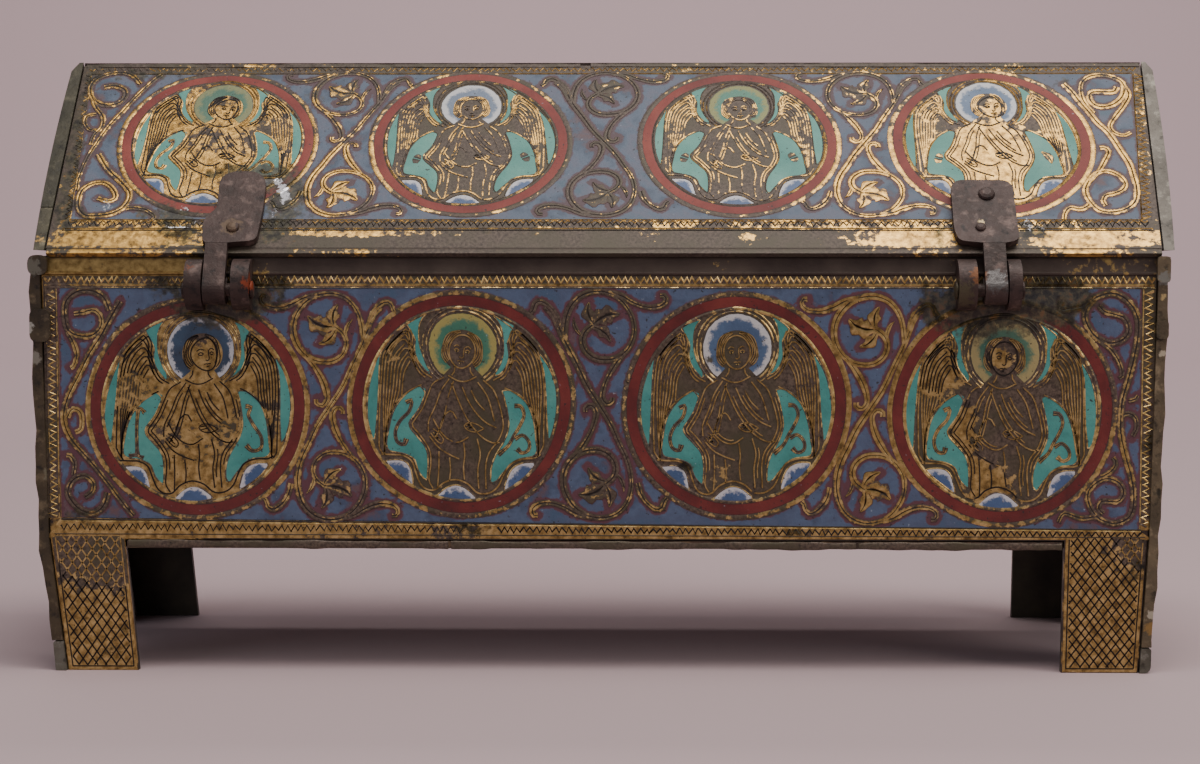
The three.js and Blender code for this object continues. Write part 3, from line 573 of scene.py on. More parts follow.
# the narrow fields at the ends of the front panel and the front slope, each with its own stems, in mm on the panel
endScrolls = {
    "bodyRight": [
        [(92.7, 74.8), (92.4, 73.2), (94, 73.2), (96.9, 73.8), (99.4, 75.4), (102.6, 76.4), (105.2, 75.4),
         (107.1, 73.2), (107.9, 70.3), (107.6, 66.8), (106.8, 62.9), (105.7, 58.4), (104.9, 54.9), (104.7, 50.7),
         (104.9, 47.8), (105.8, 43.7), (106.8, 39.8), (107.3, 35.7), (106.9, 32.4), (105.5, 30.8), (103, 30.2),
         (100.1, 31.5), (98.5, 34), (98.3, 36.3), (99.8, 38.2), (102, 39.2), (104.2, 38.5), (105.3, 36.6),
         (104.5, 34.7), (103, 34.5), (101, 34.5), (100.4, 33.1), (101.4, 32.1)],
        [(100.1, 31.5), (96.9, 31.2), (94.3, 32.1), (93.1, 32.1), (92.3, 30.5)],
        [(99.4, 75.4), (97.9, 73.5), (97.4, 71.3), (98.5, 68.7), (100.4, 66.9), (102.6, 66.3), (104.9, 67.1),
         (106, 69), (105.2, 71.3), (103.3, 72.1), (101.4, 72.6), (100.2, 73.8)],
        [(100.1, 66.9), (102.6, 64.9), (104.2, 62.3), (104.7, 60), (104.1, 59.4)],
        [(104.9, 51.7), (106.1, 52.3), (107.6, 51.4), (107.9, 49.4), (107.1, 47.8)],
        [(106.1, 54.9), (107.4, 55.2), (107.9, 56)],
        [(101, 39.5), (103, 40.8), (103.9, 42.4), (103.3, 43.5)],
    ],
    "bodyLeft": [
        [(-97.7, 72.9), (-98.7, 75.4), (-100.6, 76.6), (-102.8, 76.9), (-105, 76.2), (-106.6, 74.5), (-106.9, 71.6),
         (-106.3, 68.7), (-104.1, 67.6), (-101.5, 67.7), (-99.6, 69.4), (-99.5, 71.6), (-100.9, 72.9), (-103.1, 72.4),
         (-105, 72.1)],
        [(-106.5, 68.4), (-105.3, 66.1), (-104.7, 63.9), (-105.3, 61.7), (-106, 61.2)],
        [(-95.5, 74.8), (-97.4, 71.6), (-99.6, 67.7), (-102.2, 63.9), (-104.4, 59.7), (-106.3, 55.9), (-107.3, 52.4),
         (-107.1, 49.5), (-105.7, 46.6), (-103.4, 44), (-100.9, 41.1), (-98.3, 37.6), (-95.8, 34.1), (-93.6, 31.5)],
        [(-98.7, 36), (-99.6, 33.4), (-101.8, 31.8), (-104.4, 32.5), (-106.3, 34.4), (-106.9, 36.3), (-105.7, 38.6),
         (-103.4, 39.4), (-101.7, 38.2), (-101.8, 36.3), (-103.4, 35)],
        [(-106.9, 43.7), (-106, 43.4), (-105.3, 41.8), (-105.7, 39.5)],
        [(-106.6, 51.1), (-105.7, 52.8), (-104.1, 52.4), (-103.6, 50.8), (-103.8, 48.8), (-105, 48.2)],
    ],
    "lidRight": [
        [(108.8, 45.5), (108, 44.2), (106, 44.2), (103.7, 44.2), (102.7, 43.4), (102.9, 41.4), (104.5, 39.9),
         (107.1, 40.3), (109.3, 42.2), (110.3, 44.7), (110, 47.1), (107.9, 48.7), (105.7, 49.2), (103.4, 48.9),
         (101.5, 47.1), (101, 44.2), (101.4, 41.4), (103, 38)],
        [(97.6, 46.7), (99.2, 44.2), (100.5, 41.4), (101.8, 38.9), (103.5, 35.1), (105.4, 32.1), (107.3, 27),
         (108.7, 23.1), (109.2, 19.6), (109.5, 16.5), (109, 13), (106.9, 10.7), (104, 9.8), (101.3, 10.3),
         (99.7, 12.5), (98.9, 15.2), (99.5, 17.8), (101.3, 20.5), (103.8, 21.3), (106.1, 20), (107.3, 17.8),
         (106.6, 15.9), (104.3, 14.7), (103, 14.5), (102.2, 13), (102.7, 11.6)],
        [(110.1, 46.7), (111.1, 43.4), (109.6, 40.1), (107.7, 37.2), (106, 34.2), (106.7, 32.1), (108.5, 31.3),
         (110, 32.1)],
        [(103, 27.8), (104.2, 27.8), (104.7, 26.6), (103.5, 24), (102.1, 21.3), (100, 18.3)],
        [(99.6, 12.1), (97.6, 10.7), (95.5, 11.2), (94.3, 9.8), (93.9, 8)],
    ],
    "lidLeft": [
        [(-104.7, 45.9), (-102.5, 46.2), (-100.3, 44.9), (-100.1, 42.6), (-101.7, 40.8), (-104.5, 40.8),
         (-106.8, 42.8), (-107.7, 45.7), (-106.9, 48.2), (-104.7, 49.7), (-101.9, 50.3), (-99.3, 49.2),
         (-97.3, 46.7)],
        [(-106.9, 43.1), (-105.6, 40), (-104, 37.4), (-103.7, 34.2), (-105.1, 31.6), (-105.5, 28.9)],
        [(-105.3, 37.9), (-107.2, 37.4), (-107.4, 35.3), (-106.1, 33.2), (-104.7, 33.2)],
        [(-93.2, 49.5), (-94.3, 48.2), (-97.3, 43.6), (-100.1, 38.4), (-102.6, 33.7), (-104.6, 28.4), (-105.7, 25.1),
         (-106.5, 19.7), (-106.4, 15.8)],
        [(-103.5, 26.2), (-101, 21.9), (-97.7, 18), (-95.5, 14.7), (-96.1, 11.4), (-98.5, 9.4), (-101.9, 8.8),
         (-103.9, 9.1), (-105.4, 11.4), (-105.5, 15.3), (-103.9, 17.5), (-101.2, 18), (-99, 15.8), (-98.3, 13.6),
         (-99.7, 12.8), (-101.8, 13.6)],
        [(-95.6, 10.8), (-93.3, 10.8), (-91.3, 10.2), (-89.5, 8.6), (-90, 7.7)],
    ],
}


def endScrollParts(label, gildingAt):
    # bands along the paths above, a little thinner towards the ends of the short ones
    parts, spine = [], []
    for points in endScrolls[label]:
        path = smoothPath(points)
        t = np.linspace(0, 1, len(path))
        half = scrollDesign["half"] * (1.0 if len(points) > 9 else 0.82) * np.clip(1.15 - 0.35 * t, 0.8, 1)
        parts.append(band(path, half, levels["metal"], levels["rise"], gilding=gildingAt(path)))
        spine.append(path)
    return parts, spine


def blobs(uv, spots, base):
    # a level that rises or falls in round spots: each is u, v, radius and strength
    level = np.full(len(uv), base, float)
    for u, v, radius, strength in spots:
        level += strength * np.exp(-((uv[:, 0] - u) ** 2 + (uv[:, 1] - v) ** 2) / radius ** 2)
    return level


lineRise = 0.1
# how dark or gold a line is across its width: a ridged line, one that is cut in, and one between them
fineRidge, cutLevels, softCut = (1, 0.7, 0.42, 0.7, 1), (0.3, 0.1, 0.0, 0.1, 0.3), (0.6, 0.5, 0.5, 0.5, 0.6)


def toothRow(start, end, gildingAt, swing, half, pitch=1.3, dark=False):
    # a row of teeth between two points: the path swings from side to side once for each pitch
    start, end = np.asarray(start, float), np.asarray(end, float)
    way = end - start
    length = np.hypot(*way)
    count = int(length / pitch)
    t = np.arange(2 * count + 1) / (2 * count)
    side = np.where(np.arange(2 * count + 1) % 2 == 0, 1, -1)
    rng = np.random.default_rng(int(abs(start[0] * 7 + end[1] * 13)) + 5)
    side = side * (1 + 0.18 * rng.standard_normal(len(side)))
    t = t + rng.standard_normal(len(t)) * 0.08 * pitch / length
    path = start + t[:, None] * way + side[:, None] * np.array([-way[1], way[0]]) / length * swing
    return band(path, half, levels["ground"] + 0.02, lineRise, lineSection, across=0.0 if dark else 0.5,
                gilding=gildingAt(path))


# the figure, in shares of the roundel's radius from its middle; cells are pairs of boundary curves
angelDesign = {
    "cells": {
        "leftCrescent": ([(-0.745, 0.46), (-0.80, 0.33), (-0.85, 0.17), (-0.87, 0.0), (-0.86, -0.18), (-0.81, -0.34)],
                         [(-0.735, 0.46), (-0.755, 0.3), (-0.765, 0.1), (-0.775, -0.1), (-0.785, -0.24),
                          (-0.795, -0.34)]),
        "rightCrescent": ([(0.71, 0.44), (0.745, 0.3), (0.76, 0.1), (0.77, -0.1), (0.78, -0.22), (0.79, -0.32)],
                          [(0.72, 0.46), (0.80, 0.33), (0.85, 0.17), (0.87, 0.0), (0.86, -0.16), (0.82, -0.31)]),
        "upperLeft": ([(-0.49, 0.74), (-0.46, 0.66), (-0.42, 0.58), (-0.43, 0.48), (-0.40, 0.38), (-0.31, 0.27)],
                      [(-0.31, 0.83), (-0.37, 0.72), (-0.385, 0.6), (-0.375, 0.5), (-0.34, 0.4), (-0.285, 0.3)]),
        "upperRight": ([(0.31, 0.83), (0.37, 0.72), (0.385, 0.6), (0.375, 0.47), (0.34, 0.38), (0.29, 0.29)],
                       [(0.49, 0.73), (0.46, 0.65), (0.42, 0.57), (0.43, 0.46), (0.39, 0.35), (0.31, 0.27)]),
        "lowerLeft": ([(-0.40, 0.16), (-0.52, 0.08), (-0.62, -0.06), (-0.665, -0.22), (-0.68, -0.42), (-0.55, -0.46),
                       (-0.44, -0.51), (-0.40, -0.62), (-0.33, -0.71)],
                      [(-0.34, 0.13), (-0.36, 0.05), (-0.40, -0.05), (-0.46, -0.14), (-0.49, -0.21), (-0.42, -0.30),
                       (-0.33, -0.41), (-0.31, -0.55), (-0.32, -0.70)]),
        "lowerRight": ([(0.36, 0.14), (0.385, 0.04), (0.41, -0.08), (0.42, -0.2), (0.38, -0.32), (0.31, -0.44),
                        (0.27, -0.56), (0.265, -0.70)],
                       [(0.41, 0.16), (0.53, 0.09), (0.61, -0.03), (0.655, -0.17), (0.675, -0.32), (0.675, -0.45),
                        (0.50, -0.49), (0.40, -0.58), (0.30, -0.71)]),
    },
    "clouds": {
        "leftCloud": ([(-0.69, -0.53), (-0.60, -0.52), (-0.52, -0.535), (-0.47, -0.60), (-0.445, -0.73)],
                      [(-0.675, -0.56), (-0.62, -0.62), (-0.56, -0.67), (-0.50, -0.72), (-0.45, -0.755)]),
        "middleCloud": ([(-0.23, -0.85), (-0.15, -0.775), (-0.055, -0.735), (0.04, -0.76), (0.14, -0.845)],
                        [(-0.22, -0.865), (-0.14, -0.875), (-0.05, -0.882), (0.05, -0.878), (0.13, -0.862)]),
        "rightCloud": ([(0.66, -0.52), (0.56, -0.52), (0.47, -0.56), (0.42, -0.64), (0.385, -0.76)],
                       [(0.665, -0.55), (0.60, -0.63), (0.53, -0.69), (0.46, -0.74), (0.395, -0.78)]),
    },
    "cloudLine": [(-0.73, -0.47), (-0.62, -0.475), (-0.54, -0.48), (-0.46, -0.53), (-0.42, -0.64), (-0.38, -0.74),
                  (-0.32, -0.79), (-0.24, -0.79), (-0.16, -0.72), (-0.05, -0.685), (0.06, -0.72), (0.15, -0.80),
                  (0.25, -0.80), (0.33, -0.74), (0.38, -0.63), (0.44, -0.53), (0.55, -0.485), (0.66, -0.48),
                  (0.72, -0.45)],
    "halo": {"middle": (0.013, 0.53), "outer": 0.335, "head": 0.187, "from": -55, "to": 235},
    "tendrils": {
        "curl": [[(-0.52, 0.0), (-0.47, 0.02), (-0.49, -0.08), (-0.57, -0.17), (-0.61, -0.27), (-0.59, -0.36),
                  (-0.53, -0.38), (-0.51, -0.33)],
                 [(0.47, 0.0), (0.53, -0.01), (0.56, -0.09), (0.52, -0.19), (0.47, -0.27), (0.42, -0.36),
                  (0.33, -0.44)],
                 [(0.48, -0.30), (0.55, -0.27), (0.61, -0.33), (0.61, -0.40), (0.55, -0.43), (0.50, -0.39)]],
        "bar": [[(-0.60, 0.0), (-0.54, 0.01), (-0.50, -0.03)],
                [(-0.56, 0.0), (-0.565, -0.15), (-0.56, -0.32), (-0.555, -0.43)],
                [(-0.63, -0.43), (-0.57, -0.42), (-0.50, -0.45)],
                [(0.44, 0.0), (0.49, -0.01), (0.47, -0.08), (0.52, -0.17), (0.60, -0.28), (0.60, -0.38),
                 (0.52, -0.41), (0.46, -0.36)]],
        "leaf": [],
    },
    "leaves": [((-0.56, -0.31), (-0.50, -0.15), 0.045), ((0.50, -0.14), (0.58, -0.30), 0.045)],
    # a wing hangs from an arch; feathers bend over below it, from the first four points for the outermost to the
    # next four for the innermost, and end on the bottom edge
    "bent": ([(-0.44, 0.49), (-0.54, 0.655), (-0.69, 0.5), (-0.745, 0.15)],
             [(-0.42, 0.3), (-0.475, 0.385), (-0.535, 0.27), (-0.555, 0.1)]),
    "wingBottom": [(-0.765, -0.48), (-0.735, -0.50), (-0.705, -0.48), (-0.69, -0.25), (-0.64, -0.06), (-0.56, 0.05),
                   (-0.46, 0.13), (-0.38, 0.17)],
    "arch": [(-0.28, 0.24), (-0.37, 0.30), (-0.43, 0.42), (-0.45, 0.52), (-0.44, 0.61), (-0.48, 0.70), (-0.56, 0.735),
             (-0.65, 0.69), (-0.72, 0.58), (-0.745, 0.44)],
    "feathers": 8,
    "folds": [
        [(-0.17, 0.25), (-0.27, 0.19), (-0.325, 0.07), (-0.37, -0.05), (-0.44, -0.16), (-0.46, -0.21), (-0.39, -0.29),
         (-0.30, -0.42), (-0.285, -0.55), (-0.30, -0.70), (-0.26, -0.78)],
        [(-0.12, 0.24), (-0.20, 0.12), (-0.25, -0.02), (-0.31, -0.16), (-0.31, -0.26)],
        [(-0.08, 0.22), (-0.13, 0.08), (-0.16, -0.08), (-0.2, -0.22), (-0.26, -0.32)],
        [(-0.10, 0.20), (-0.04, 0.05), (0.02, -0.08), (0.10, -0.2), (0.19, -0.29), (0.28, -0.335), (0.34, -0.33)],
        [(0.0, 0.17), (0.05, 0.05), (0.12, -0.06), (0.21, -0.15), (0.31, -0.2)],
        [(0.08, 0.14), (0.13, 0.04), (0.2, -0.04)],
        [(0.19, 0.24), (0.28, 0.15), (0.33, 0.02), (0.36, -0.1), (0.37, -0.2), (0.33, -0.31), (0.25, -0.42),
         (0.22, -0.55), (0.225, -0.76)],
        [(0.14, 0.22), (0.22, 0.1), (0.26, -0.02), (0.29, -0.14)],
        [(-0.27, -0.14), (-0.2, -0.25), (-0.12, -0.32), (-0.03, -0.34), (0.06, -0.29)],
        [(-0.30, -0.30), (-0.22, -0.39), (-0.12, -0.45), (-0.02, -0.49)],
        [(-0.2, -0.2), (-0.16, -0.1), (-0.1, -0.06), (-0.05, -0.13)],
        [(-0.21, -0.43), (-0.21, -0.6), (-0.22, -0.77)],
        [(-0.11, -0.48), (-0.10, -0.60), (-0.11, -0.70)],
        [(0.02, -0.34), (0.03, -0.45), (0.02, -0.56), (0.03, -0.68)],
        [(0.14, -0.3), (0.17, -0.44), (0.15, -0.58), (0.16, -0.76)],
        [(-0.13, 0.27), (-0.04, 0.225), (0.04, 0.225), (0.13, 0.27)],
    ],
    # the hands: one at the breast, one on the mantle's edge
    "hands": [[(0.20, -0.21), (0.13, -0.17), (0.06, -0.16), (0.02, -0.19), (0.06, -0.23), (0.13, -0.24),
               (0.20, -0.21)],
              [(0.10, -0.175), (0.03, -0.185)], [(0.11, -0.20), (0.04, -0.21)],
              [(-0.29, -0.27), (-0.24, -0.33), (-0.19, -0.36), (-0.17, -0.32), (-0.21, -0.27), (-0.27, -0.23)],
              [(-0.25, -0.29), (-0.20, -0.33)], [(-0.27, -0.26), (-0.22, -0.30)]],
}

# an engraved head in shares of the face: an oval with the eyes half way down, the nose's base half way from
# them to the chin, and the mouth a third of the way below the nose
headDesign = {
    "wide": 0.12, "high": 0.15, "hair": 0.19,
    "features": [
        [(-0.66, 0.22), (-0.44, 0.34), (-0.2, 0.26)], [(0.2, 0.26), (0.44, 0.34), (0.66, 0.22)],
        [(-0.6, 0.03), (-0.42, 0.13), (-0.22, 0.03)], [(0.22, 0.03), (0.42, 0.13), (0.6, 0.03)],
        [(-0.56, 0.0), (-0.42, -0.05), (-0.26, 0.0)], [(0.26, 0.0), (0.42, -0.05), (0.56, 0.0)],
        [(0.16, 0.24), (0.13, 0.0), (0.15, -0.3), (0.0, -0.4), (-0.13, -0.33)],
        [(-0.26, -0.6), (-0.1, -0.57), (0.0, -0.6), (0.1, -0.57), (0.26, -0.6)],
        [(-0.12, -0.71), (0.0, -0.74), (0.12, -0.71)],
    ],
}


def inMedallion(points, centre, radius, mirrored, nudge):
    # shares of the radius to mm, with a small change of shape from figure to figure
    points = np.asarray(points, float) * ([-1, 1] if mirrored else [1, 1])
    shift = 0.013 * np.column_stack([np.sin(points[:, 1] * 3.1 + nudge), np.sin(points[:, 0] * 2.7 + 2 * nudge)])
    return (points + shift) * radius + centre


def burrGilding(level):
    # least where the plate's gilding is whole, most on worn copper, and less again where nearly all has gone
    return np.clip(0.62 - 0.5 * level, 0.15, 0.56) - 1.6 * np.clip(-0.3 - level, 0, 0.2)


def engraved(path, gildingAt, half=0.125):
    # a cut line with a burr: dark where the gilding is whole, while on worn copper it keeps the gold
    level = gildingAt(path)
    return band(path, half, levels["line"], 0.04, cutSection, across=np.where(level > 0.45, 0.02, 0.5)[:, None],
                gilding=burrGilding(level))


def outlineOf(first, second, level):
    # the thin wall of metal round a cell
    outline = np.vstack([first, second[::-1]])
    return band(smoothPath(outline[::2], 0.6, True), 0.15, levels["cell"], 0.08, lineSection, closed=True,
                across=ridged, gilding=level)


def headParts(middle, radius, tilt, turn, gildingAt):
    # features on the oval, slid sideways for a turned head: x + turn * (1 - x squared); hair in waving strands
    lean = math.radians(tilt)
    spin = np.array([[math.cos(lean), math.sin(lean)], [-math.sin(lean), math.cos(lean)]])

    def place(points):
        points = np.asarray(points, float)
        x = points[:, 0] + 0.26 * turn * (1 - np.clip(points[:, 0], -1, 1) ** 2)
        local = np.column_stack([x * headDesign["wide"], points[:, 1] * headDesign["high"]]) + [0.03 * turn, -0.02]
        return local @ spin * radius + middle

    lines = []
    oval = np.radians(np.linspace(0, 360, 40, endpoint=False))
    lines.append(band(place(np.column_stack([np.cos(oval) * (1 - 0.1 * (np.sin(oval) < 0) * np.sin(oval) ** 2),
                                             np.sin(oval)])),
                      0.13, levels["line"], 0.04, cutSection, closed=True,
                      across=0.02 if gildingAt(middle[None])[0] > 0.45 else 0.5,
                      gilding=float(burrGilding(gildingAt(middle[None])[0]))))
    for path in headDesign["features"]:
        lines.append(engraved(smoothPath(place(path), 0.25), gildingAt, 0.095))
    for side in (-1, 1):
        count = 2 if side * turn > 0 else 4
        for share in np.linspace(0.25, 1, count):
            angle = np.radians(np.linspace(78, -38 - 8 * share, 26))
            wave = 1 + 0.035 * np.sin(5 * angle + 4 * share)
            wide = headDesign["wide"] + share * (headDesign["hair"] - headDesign["wide"]) * (1 if count > 2 else 0.45)
            high = headDesign["high"] + share * (headDesign["hair"] - headDesign["high"]) * 0.8
            strand = np.column_stack([side * wide * wave * np.cos(angle) + 0.03 * turn,
                                      high * wave * np.sin(angle) - 0.01])
            lines.append(engraved(smoothPath(strand @ spin * radius + middle, 0.45), gildingAt, 0.09))
    for side in (-1, 1):
        neck = np.array([[side * 0.07, -0.16], [side * 0.075, -0.2], [side * 0.1, -0.235]])
        lines.append(engraved(smoothPath(neck * radius + middle, 0.45), gildingAt))
    return lines


def discPart(centre, radius, gildingAt, columns=31):
    # a round plate as rows between its left and right halves
    turn = np.linspace(-90, 90, 61)
    right = np.column_stack([np.cos(np.radians(turn)), np.sin(np.radians(turn))]) * radius + centre
    left = (right - centre) * [-1, 1] + centre
    inner = np.linspace(0, 1, columns)
    disc = ruled(left, right, np.r_[0, inner, 1], np.r_[0.0, np.full(columns, levels["metal"] + 0.015), 0.0],
                 across=0.5)
    disc["gilding"] = gildingAt(disc["uv"])
    return disc


def angelParts(choice):
    centre, radius = np.array(choice["centre"], float), choice["radius"]
    nudge = choice["nudge"]

    def place(points, mirrored=False):
        return inMedallion(points, centre, radius, mirrored, nudge)

    spots = [(centre[0] + u * radius, centre[1] + v * radius, r * radius, s) for u, v, r, s in choice["spots"]]

    def gildingAt(uv):
        return blobs(uv, spots, choice["gilding"])

    def engravedInside(path, limit=0.845):
        # a line that would cross the ring follows its inner edge instead: its distance from the middle is limited
        away = np.hypot(*(path - centre).T)[:, None]
        return engraved(centre + (path - centre) * np.minimum(1, limit * radius / away), gildingAt)

    metal, cells, clouds, halo, lines = [discPart(centre, radius * 0.89, gildingAt)], [], [], [], []
    wallGilding = choice["lines"]
    for first, second in angelDesign["cells"].values():
        first, second = (smoothPath(place(side), 0.7) for side in (first, second))
        cells.append(patch(first, second, levels["cell"], 0.02))
        lines.append(outlineOf(first, second, wallGilding))
    for first, second in angelDesign["clouds"].values():
        first, second = (smoothPath(place(side), 0.5) for side in (first, second))
        clouds.append(patch(first, second, levels["cell"], 0.03, oneSided=True))
        lines.append(outlineOf(first, second, wallGilding))
    lines.append(engraved(smoothPath(place(angelDesign["cloudLine"]), 0.6), gildingAt, 0.15))
    ring = angelDesign["halo"]
    middle = place([ring["middle"]])[0]
    outer = circlePath(middle, radius * (ring["outer"] - 0.02), 0.5, ring["from"], ring["to"])
    turn = np.radians(np.linspace(ring["from"], ring["to"], len(outer)))
    head = middle + radius * (np.array([0.02 * choice["turn"], -0.03])
                              + ring["head"] * np.column_stack([np.cos(turn), np.sin(turn)]))
    halo.append(patch(outer, head, levels["cell"], 0.03, 13, oneSided=True))
    for share in (0.0, 0.035):
        lines.append(band(circlePath(middle, radius * (ring["outer"] + share), 0.65, ring["from"], ring["to"]), 0.2,
                          levels["metal"], 0.14, lineSection, across=ridged, gilding=wallGilding))
    lines += headParts(middle + radius * np.array([0.0, -0.02]), radius, choice["tilt"], choice["turn"], gildingAt)
    for path in angelDesign["tendrils"][choice["tendrils"]]:
        path = smoothPath(place(path), 0.55)
        t = np.linspace(0, 1, len(path))
        lines.append(band(path, 0.36 + 0.2 * np.exp(-((t - 1) / 0.1) ** 2) + 0.14 * np.exp(-(t / 0.1) ** 2),
                          levels["cell"], 0.1, gilding=wallGilding))
    if choice["tendrils"] == "leaf":
        for base, tip, wide in angelDesign["leaves"]:
            lines.append(leafBand(place([base])[0], place([tip])[0], wide * radius, 0, gilding=wallGilding))
    first, last = (np.array(points) for points in angelDesign["bent"])
    for mirrored in (False, True):
        side = 1 if mirrored else -1
        bottom = smoothPath(place(angelDesign["wingBottom"], mirrored), 0.2)
        for number, share in enumerate(np.linspace(0, 1, angelDesign["feathers"])):
            bent = place(first * (1 - share) + last * share, mirrored)
            end = bottom[int((0.03 + 0.72 * share) * len(bottom))]
            start = 1 if number % 2 else 0
            lines.append(engravedInside(smoothPath([*bent[start:], end], 0.7)))
        arch = smoothPath(place(angelDesign["arch"], mirrored), 0.6)
        lines.append(engravedInside(arch, 0.815))
        lines.append(engravedInside(bandSides(arch, side * 0.028 * radius)[1][2:-2]))
        lines.append(engravedInside(smoothPath(place(angelDesign["wingBottom"][2:], mirrored), 0.7)))
    for path in angelDesign["folds"]:
        path = smoothPath(place(path), 0.7)
        lines.append(engraved(path, gildingAt))
        # the second line of a fold leaves out a fifth at each end
        short = len(path) // 5
        if short > 2 and choice["doubled"]:
            lines.append(engraved(bandSides(path, 0.03 * radius)[0][short:-short], gildingAt, 0.11))
    for path in angelDesign["hands"]:
        lines.append(engraved(smoothPath(place(path), 0.5), gildingAt, 0.1))
    return metal, cells, clouds, halo, lines


def ringPart(centre, outer, inner, count, columns):
    # an enamel ring between two circles of so many points
    turn = np.linspace(0, 2 * np.pi, count, endpoint=False)
    circle = np.column_stack([np.cos(turn), np.sin(turn)])
    return patch(np.array(centre) + circle * outer, np.array(centre) + circle * inner, levels["cell"], 0.03, columns,
                 closed=True)


rosetteDesign = {"petals": 8, "inner": 0.2, "outer": 0.76, "wide": 0.19, "eye": 0.13}


def rosetteParts(centre, radius, gilding, wallGilding):
    # petals round an eye: each is a pair of curves from near the middle to its tip, half width a sine along it
    design = rosetteDesign
    metal = [discPart(np.array(centre), radius * 0.89, lambda uv: blobs(uv, [(*centre, radius, 0.25)], gilding), 21)]
    cells, lines = [], []
    t = np.linspace(0.03, 0.97, 24)
    swell = design["wide"] * np.sin(np.pi * t ** 0.8) ** 0.8
    for number in range(design["petals"]):
        angle = 2 * math.pi * (number + 0.5) / design["petals"]
        ahead, aside = np.array([math.cos(angle), math.sin(angle)]), np.array([-math.sin(angle), math.cos(angle)])
        spine = np.array(centre) + radius * (design["inner"]
                                             + (design["outer"] - design["inner"]) * t)[:, None] * ahead
        first, second = (spine + way * radius * swell[:, None] * aside for way in (1, -1))
        cells.append(patch(first, second, levels["cell"], 0.03))
        lines.append(outlineOf(first, second, wallGilding))
        lines.append(band(straight(spine[6], spine[-6], 0.6), 0.16, levels["cell"], 0.1, lineSection, across=0.5,
                          gilding=wallGilding))
    eye = ringPart(centre, radius * design["eye"], 0.1, 40, 5)
    lines.append(band(circlePath(centre, radius * (design["eye"] + 0.02), 0.4), 0.2, levels["metal"], 0.14,
                      lineSection,
                      closed=True, across=ridged, gilding=wallGilding))
    return metal, cells, eye, lines


def roundelPieces(panel, roundels):
    finish = panel["finish"]
    for number, choice in enumerate(roundels, 1):
        name = f"{panel['name']}_roundel_{number}"
        centre, radius, wallGilding = choice["centre"], choice["radius"], choice["lines"]
        if "halo" in choice:
            metal, cells, clouds, halo, lines = angelParts(choice)
            makePiece(name + "_clouds", clouds, panel, cloudEnamel)
            core, middle, rim = choice["halo"]
            outside = {"from": choice["rim"] * 0.6, "to": choice["rim"] * 1.4, "color": rim}
            haloEnamel = makeEnamel(name + "_halo_enamel", (core, middle), "#2b2a28", 0.2, outside, 0.55)
            makePiece(name + "_halo", halo, panel, haloEnamel)
        else:
            metal, cells, eye, lines = rosetteParts(centre, radius, choice["gilding"], wallGilding)
            makePiece(name + "_eye", [eye], panel, cloudEnamel)
        makePiece(name + "_plate", metal, panel, finish["plate"])
        makePiece(name + "_cells", cells, panel, finish["turquoise"])
        makePiece(name + "_engraving", lines, panel, finish["work"])
        rings = []
        for share, half in ((1.024, 0.52), (0.884, 0.36)):
            path = circlePath(centre, radius * share, 0.8)
            rings.append(band(path, half, levels["metal"], 0.16, lineSection, closed=True, across=fineRidge,
                              gilding=panel["gildingAt"](path)))
        makePiece(name + "_ring_lines", rings, panel, finish["work"])
        makePiece(name + "_red_ring", [ringPart(centre, radius, radius * 0.9, 240, 7)], panel,
                  finish["red"])


def groundPart(left, right, spines, step, middles):
    # flat ground with its distance to the nearest metal line kept for the oxide borders; its columns lie closer
    # away from the roundels' middles, which cover most of it there
    even = np.linspace(0, 1, 2001)
    wide = right[0, 0] - left[0, 0]
    away = np.abs(left[0, 0] + even[:, None] * wide - np.array(middles)).min(1)
    along = np.cumsum(np.where(away < 10, 0.45, 1.0)) / len(even)
    columns = int(along[-1] * wide / step)
    inner = np.interp(np.linspace(0, 1, columns), (along - along[0]) / (along[-1] - along[0]), even)
    ground = ruled(left, right, np.r_[0, inner, 1], np.r_[0, np.full(columns, levels["ground"]), 0])
    spine = np.vstack(spines)
    distance = np.full(len(ground["uv"]), 9.0)
    for low in np.arange(ground["uv"][:, 0].min(), ground["uv"][:, 0].max() + 1, 6.0):
        here = np.flatnonzero((ground["uv"][:, 0] >= low) & (ground["uv"][:, 0] < low + 6))
        near = spine[(spine[:, 0] > low - 5) & (spine[:, 0] < low + 11)]
        if len(here) and len(near):
            gaps = ground["uv"][here, None] - near[None]
            distance[here] = np.hypot(gaps[..., 0], gaps[..., 1]).min(1)
    # measured from the stem's edge rather than its middle, and from the field's own edge
    ground["edge"] = np.minimum(distance - scrollDesign["half"], ground["edge"])
    return ground


def straight(start, end, step=1.1):
    # even points from start to end
    count = max(2, int(np.hypot(end[0] - start[0], end[1] - start[1]) / step))
    return np.linspace(start, end, count + 1)


def flipped(parts):
    # the same work seen from behind: u changes sign, and the faces are turned to look outwards again
    return [dict(part, uv=part["uv"] * [-1, 1], quads=part["quads"][:, ::-1],
                 caps=[cap[::-1] for cap in part["caps"]])
            for part in parts]


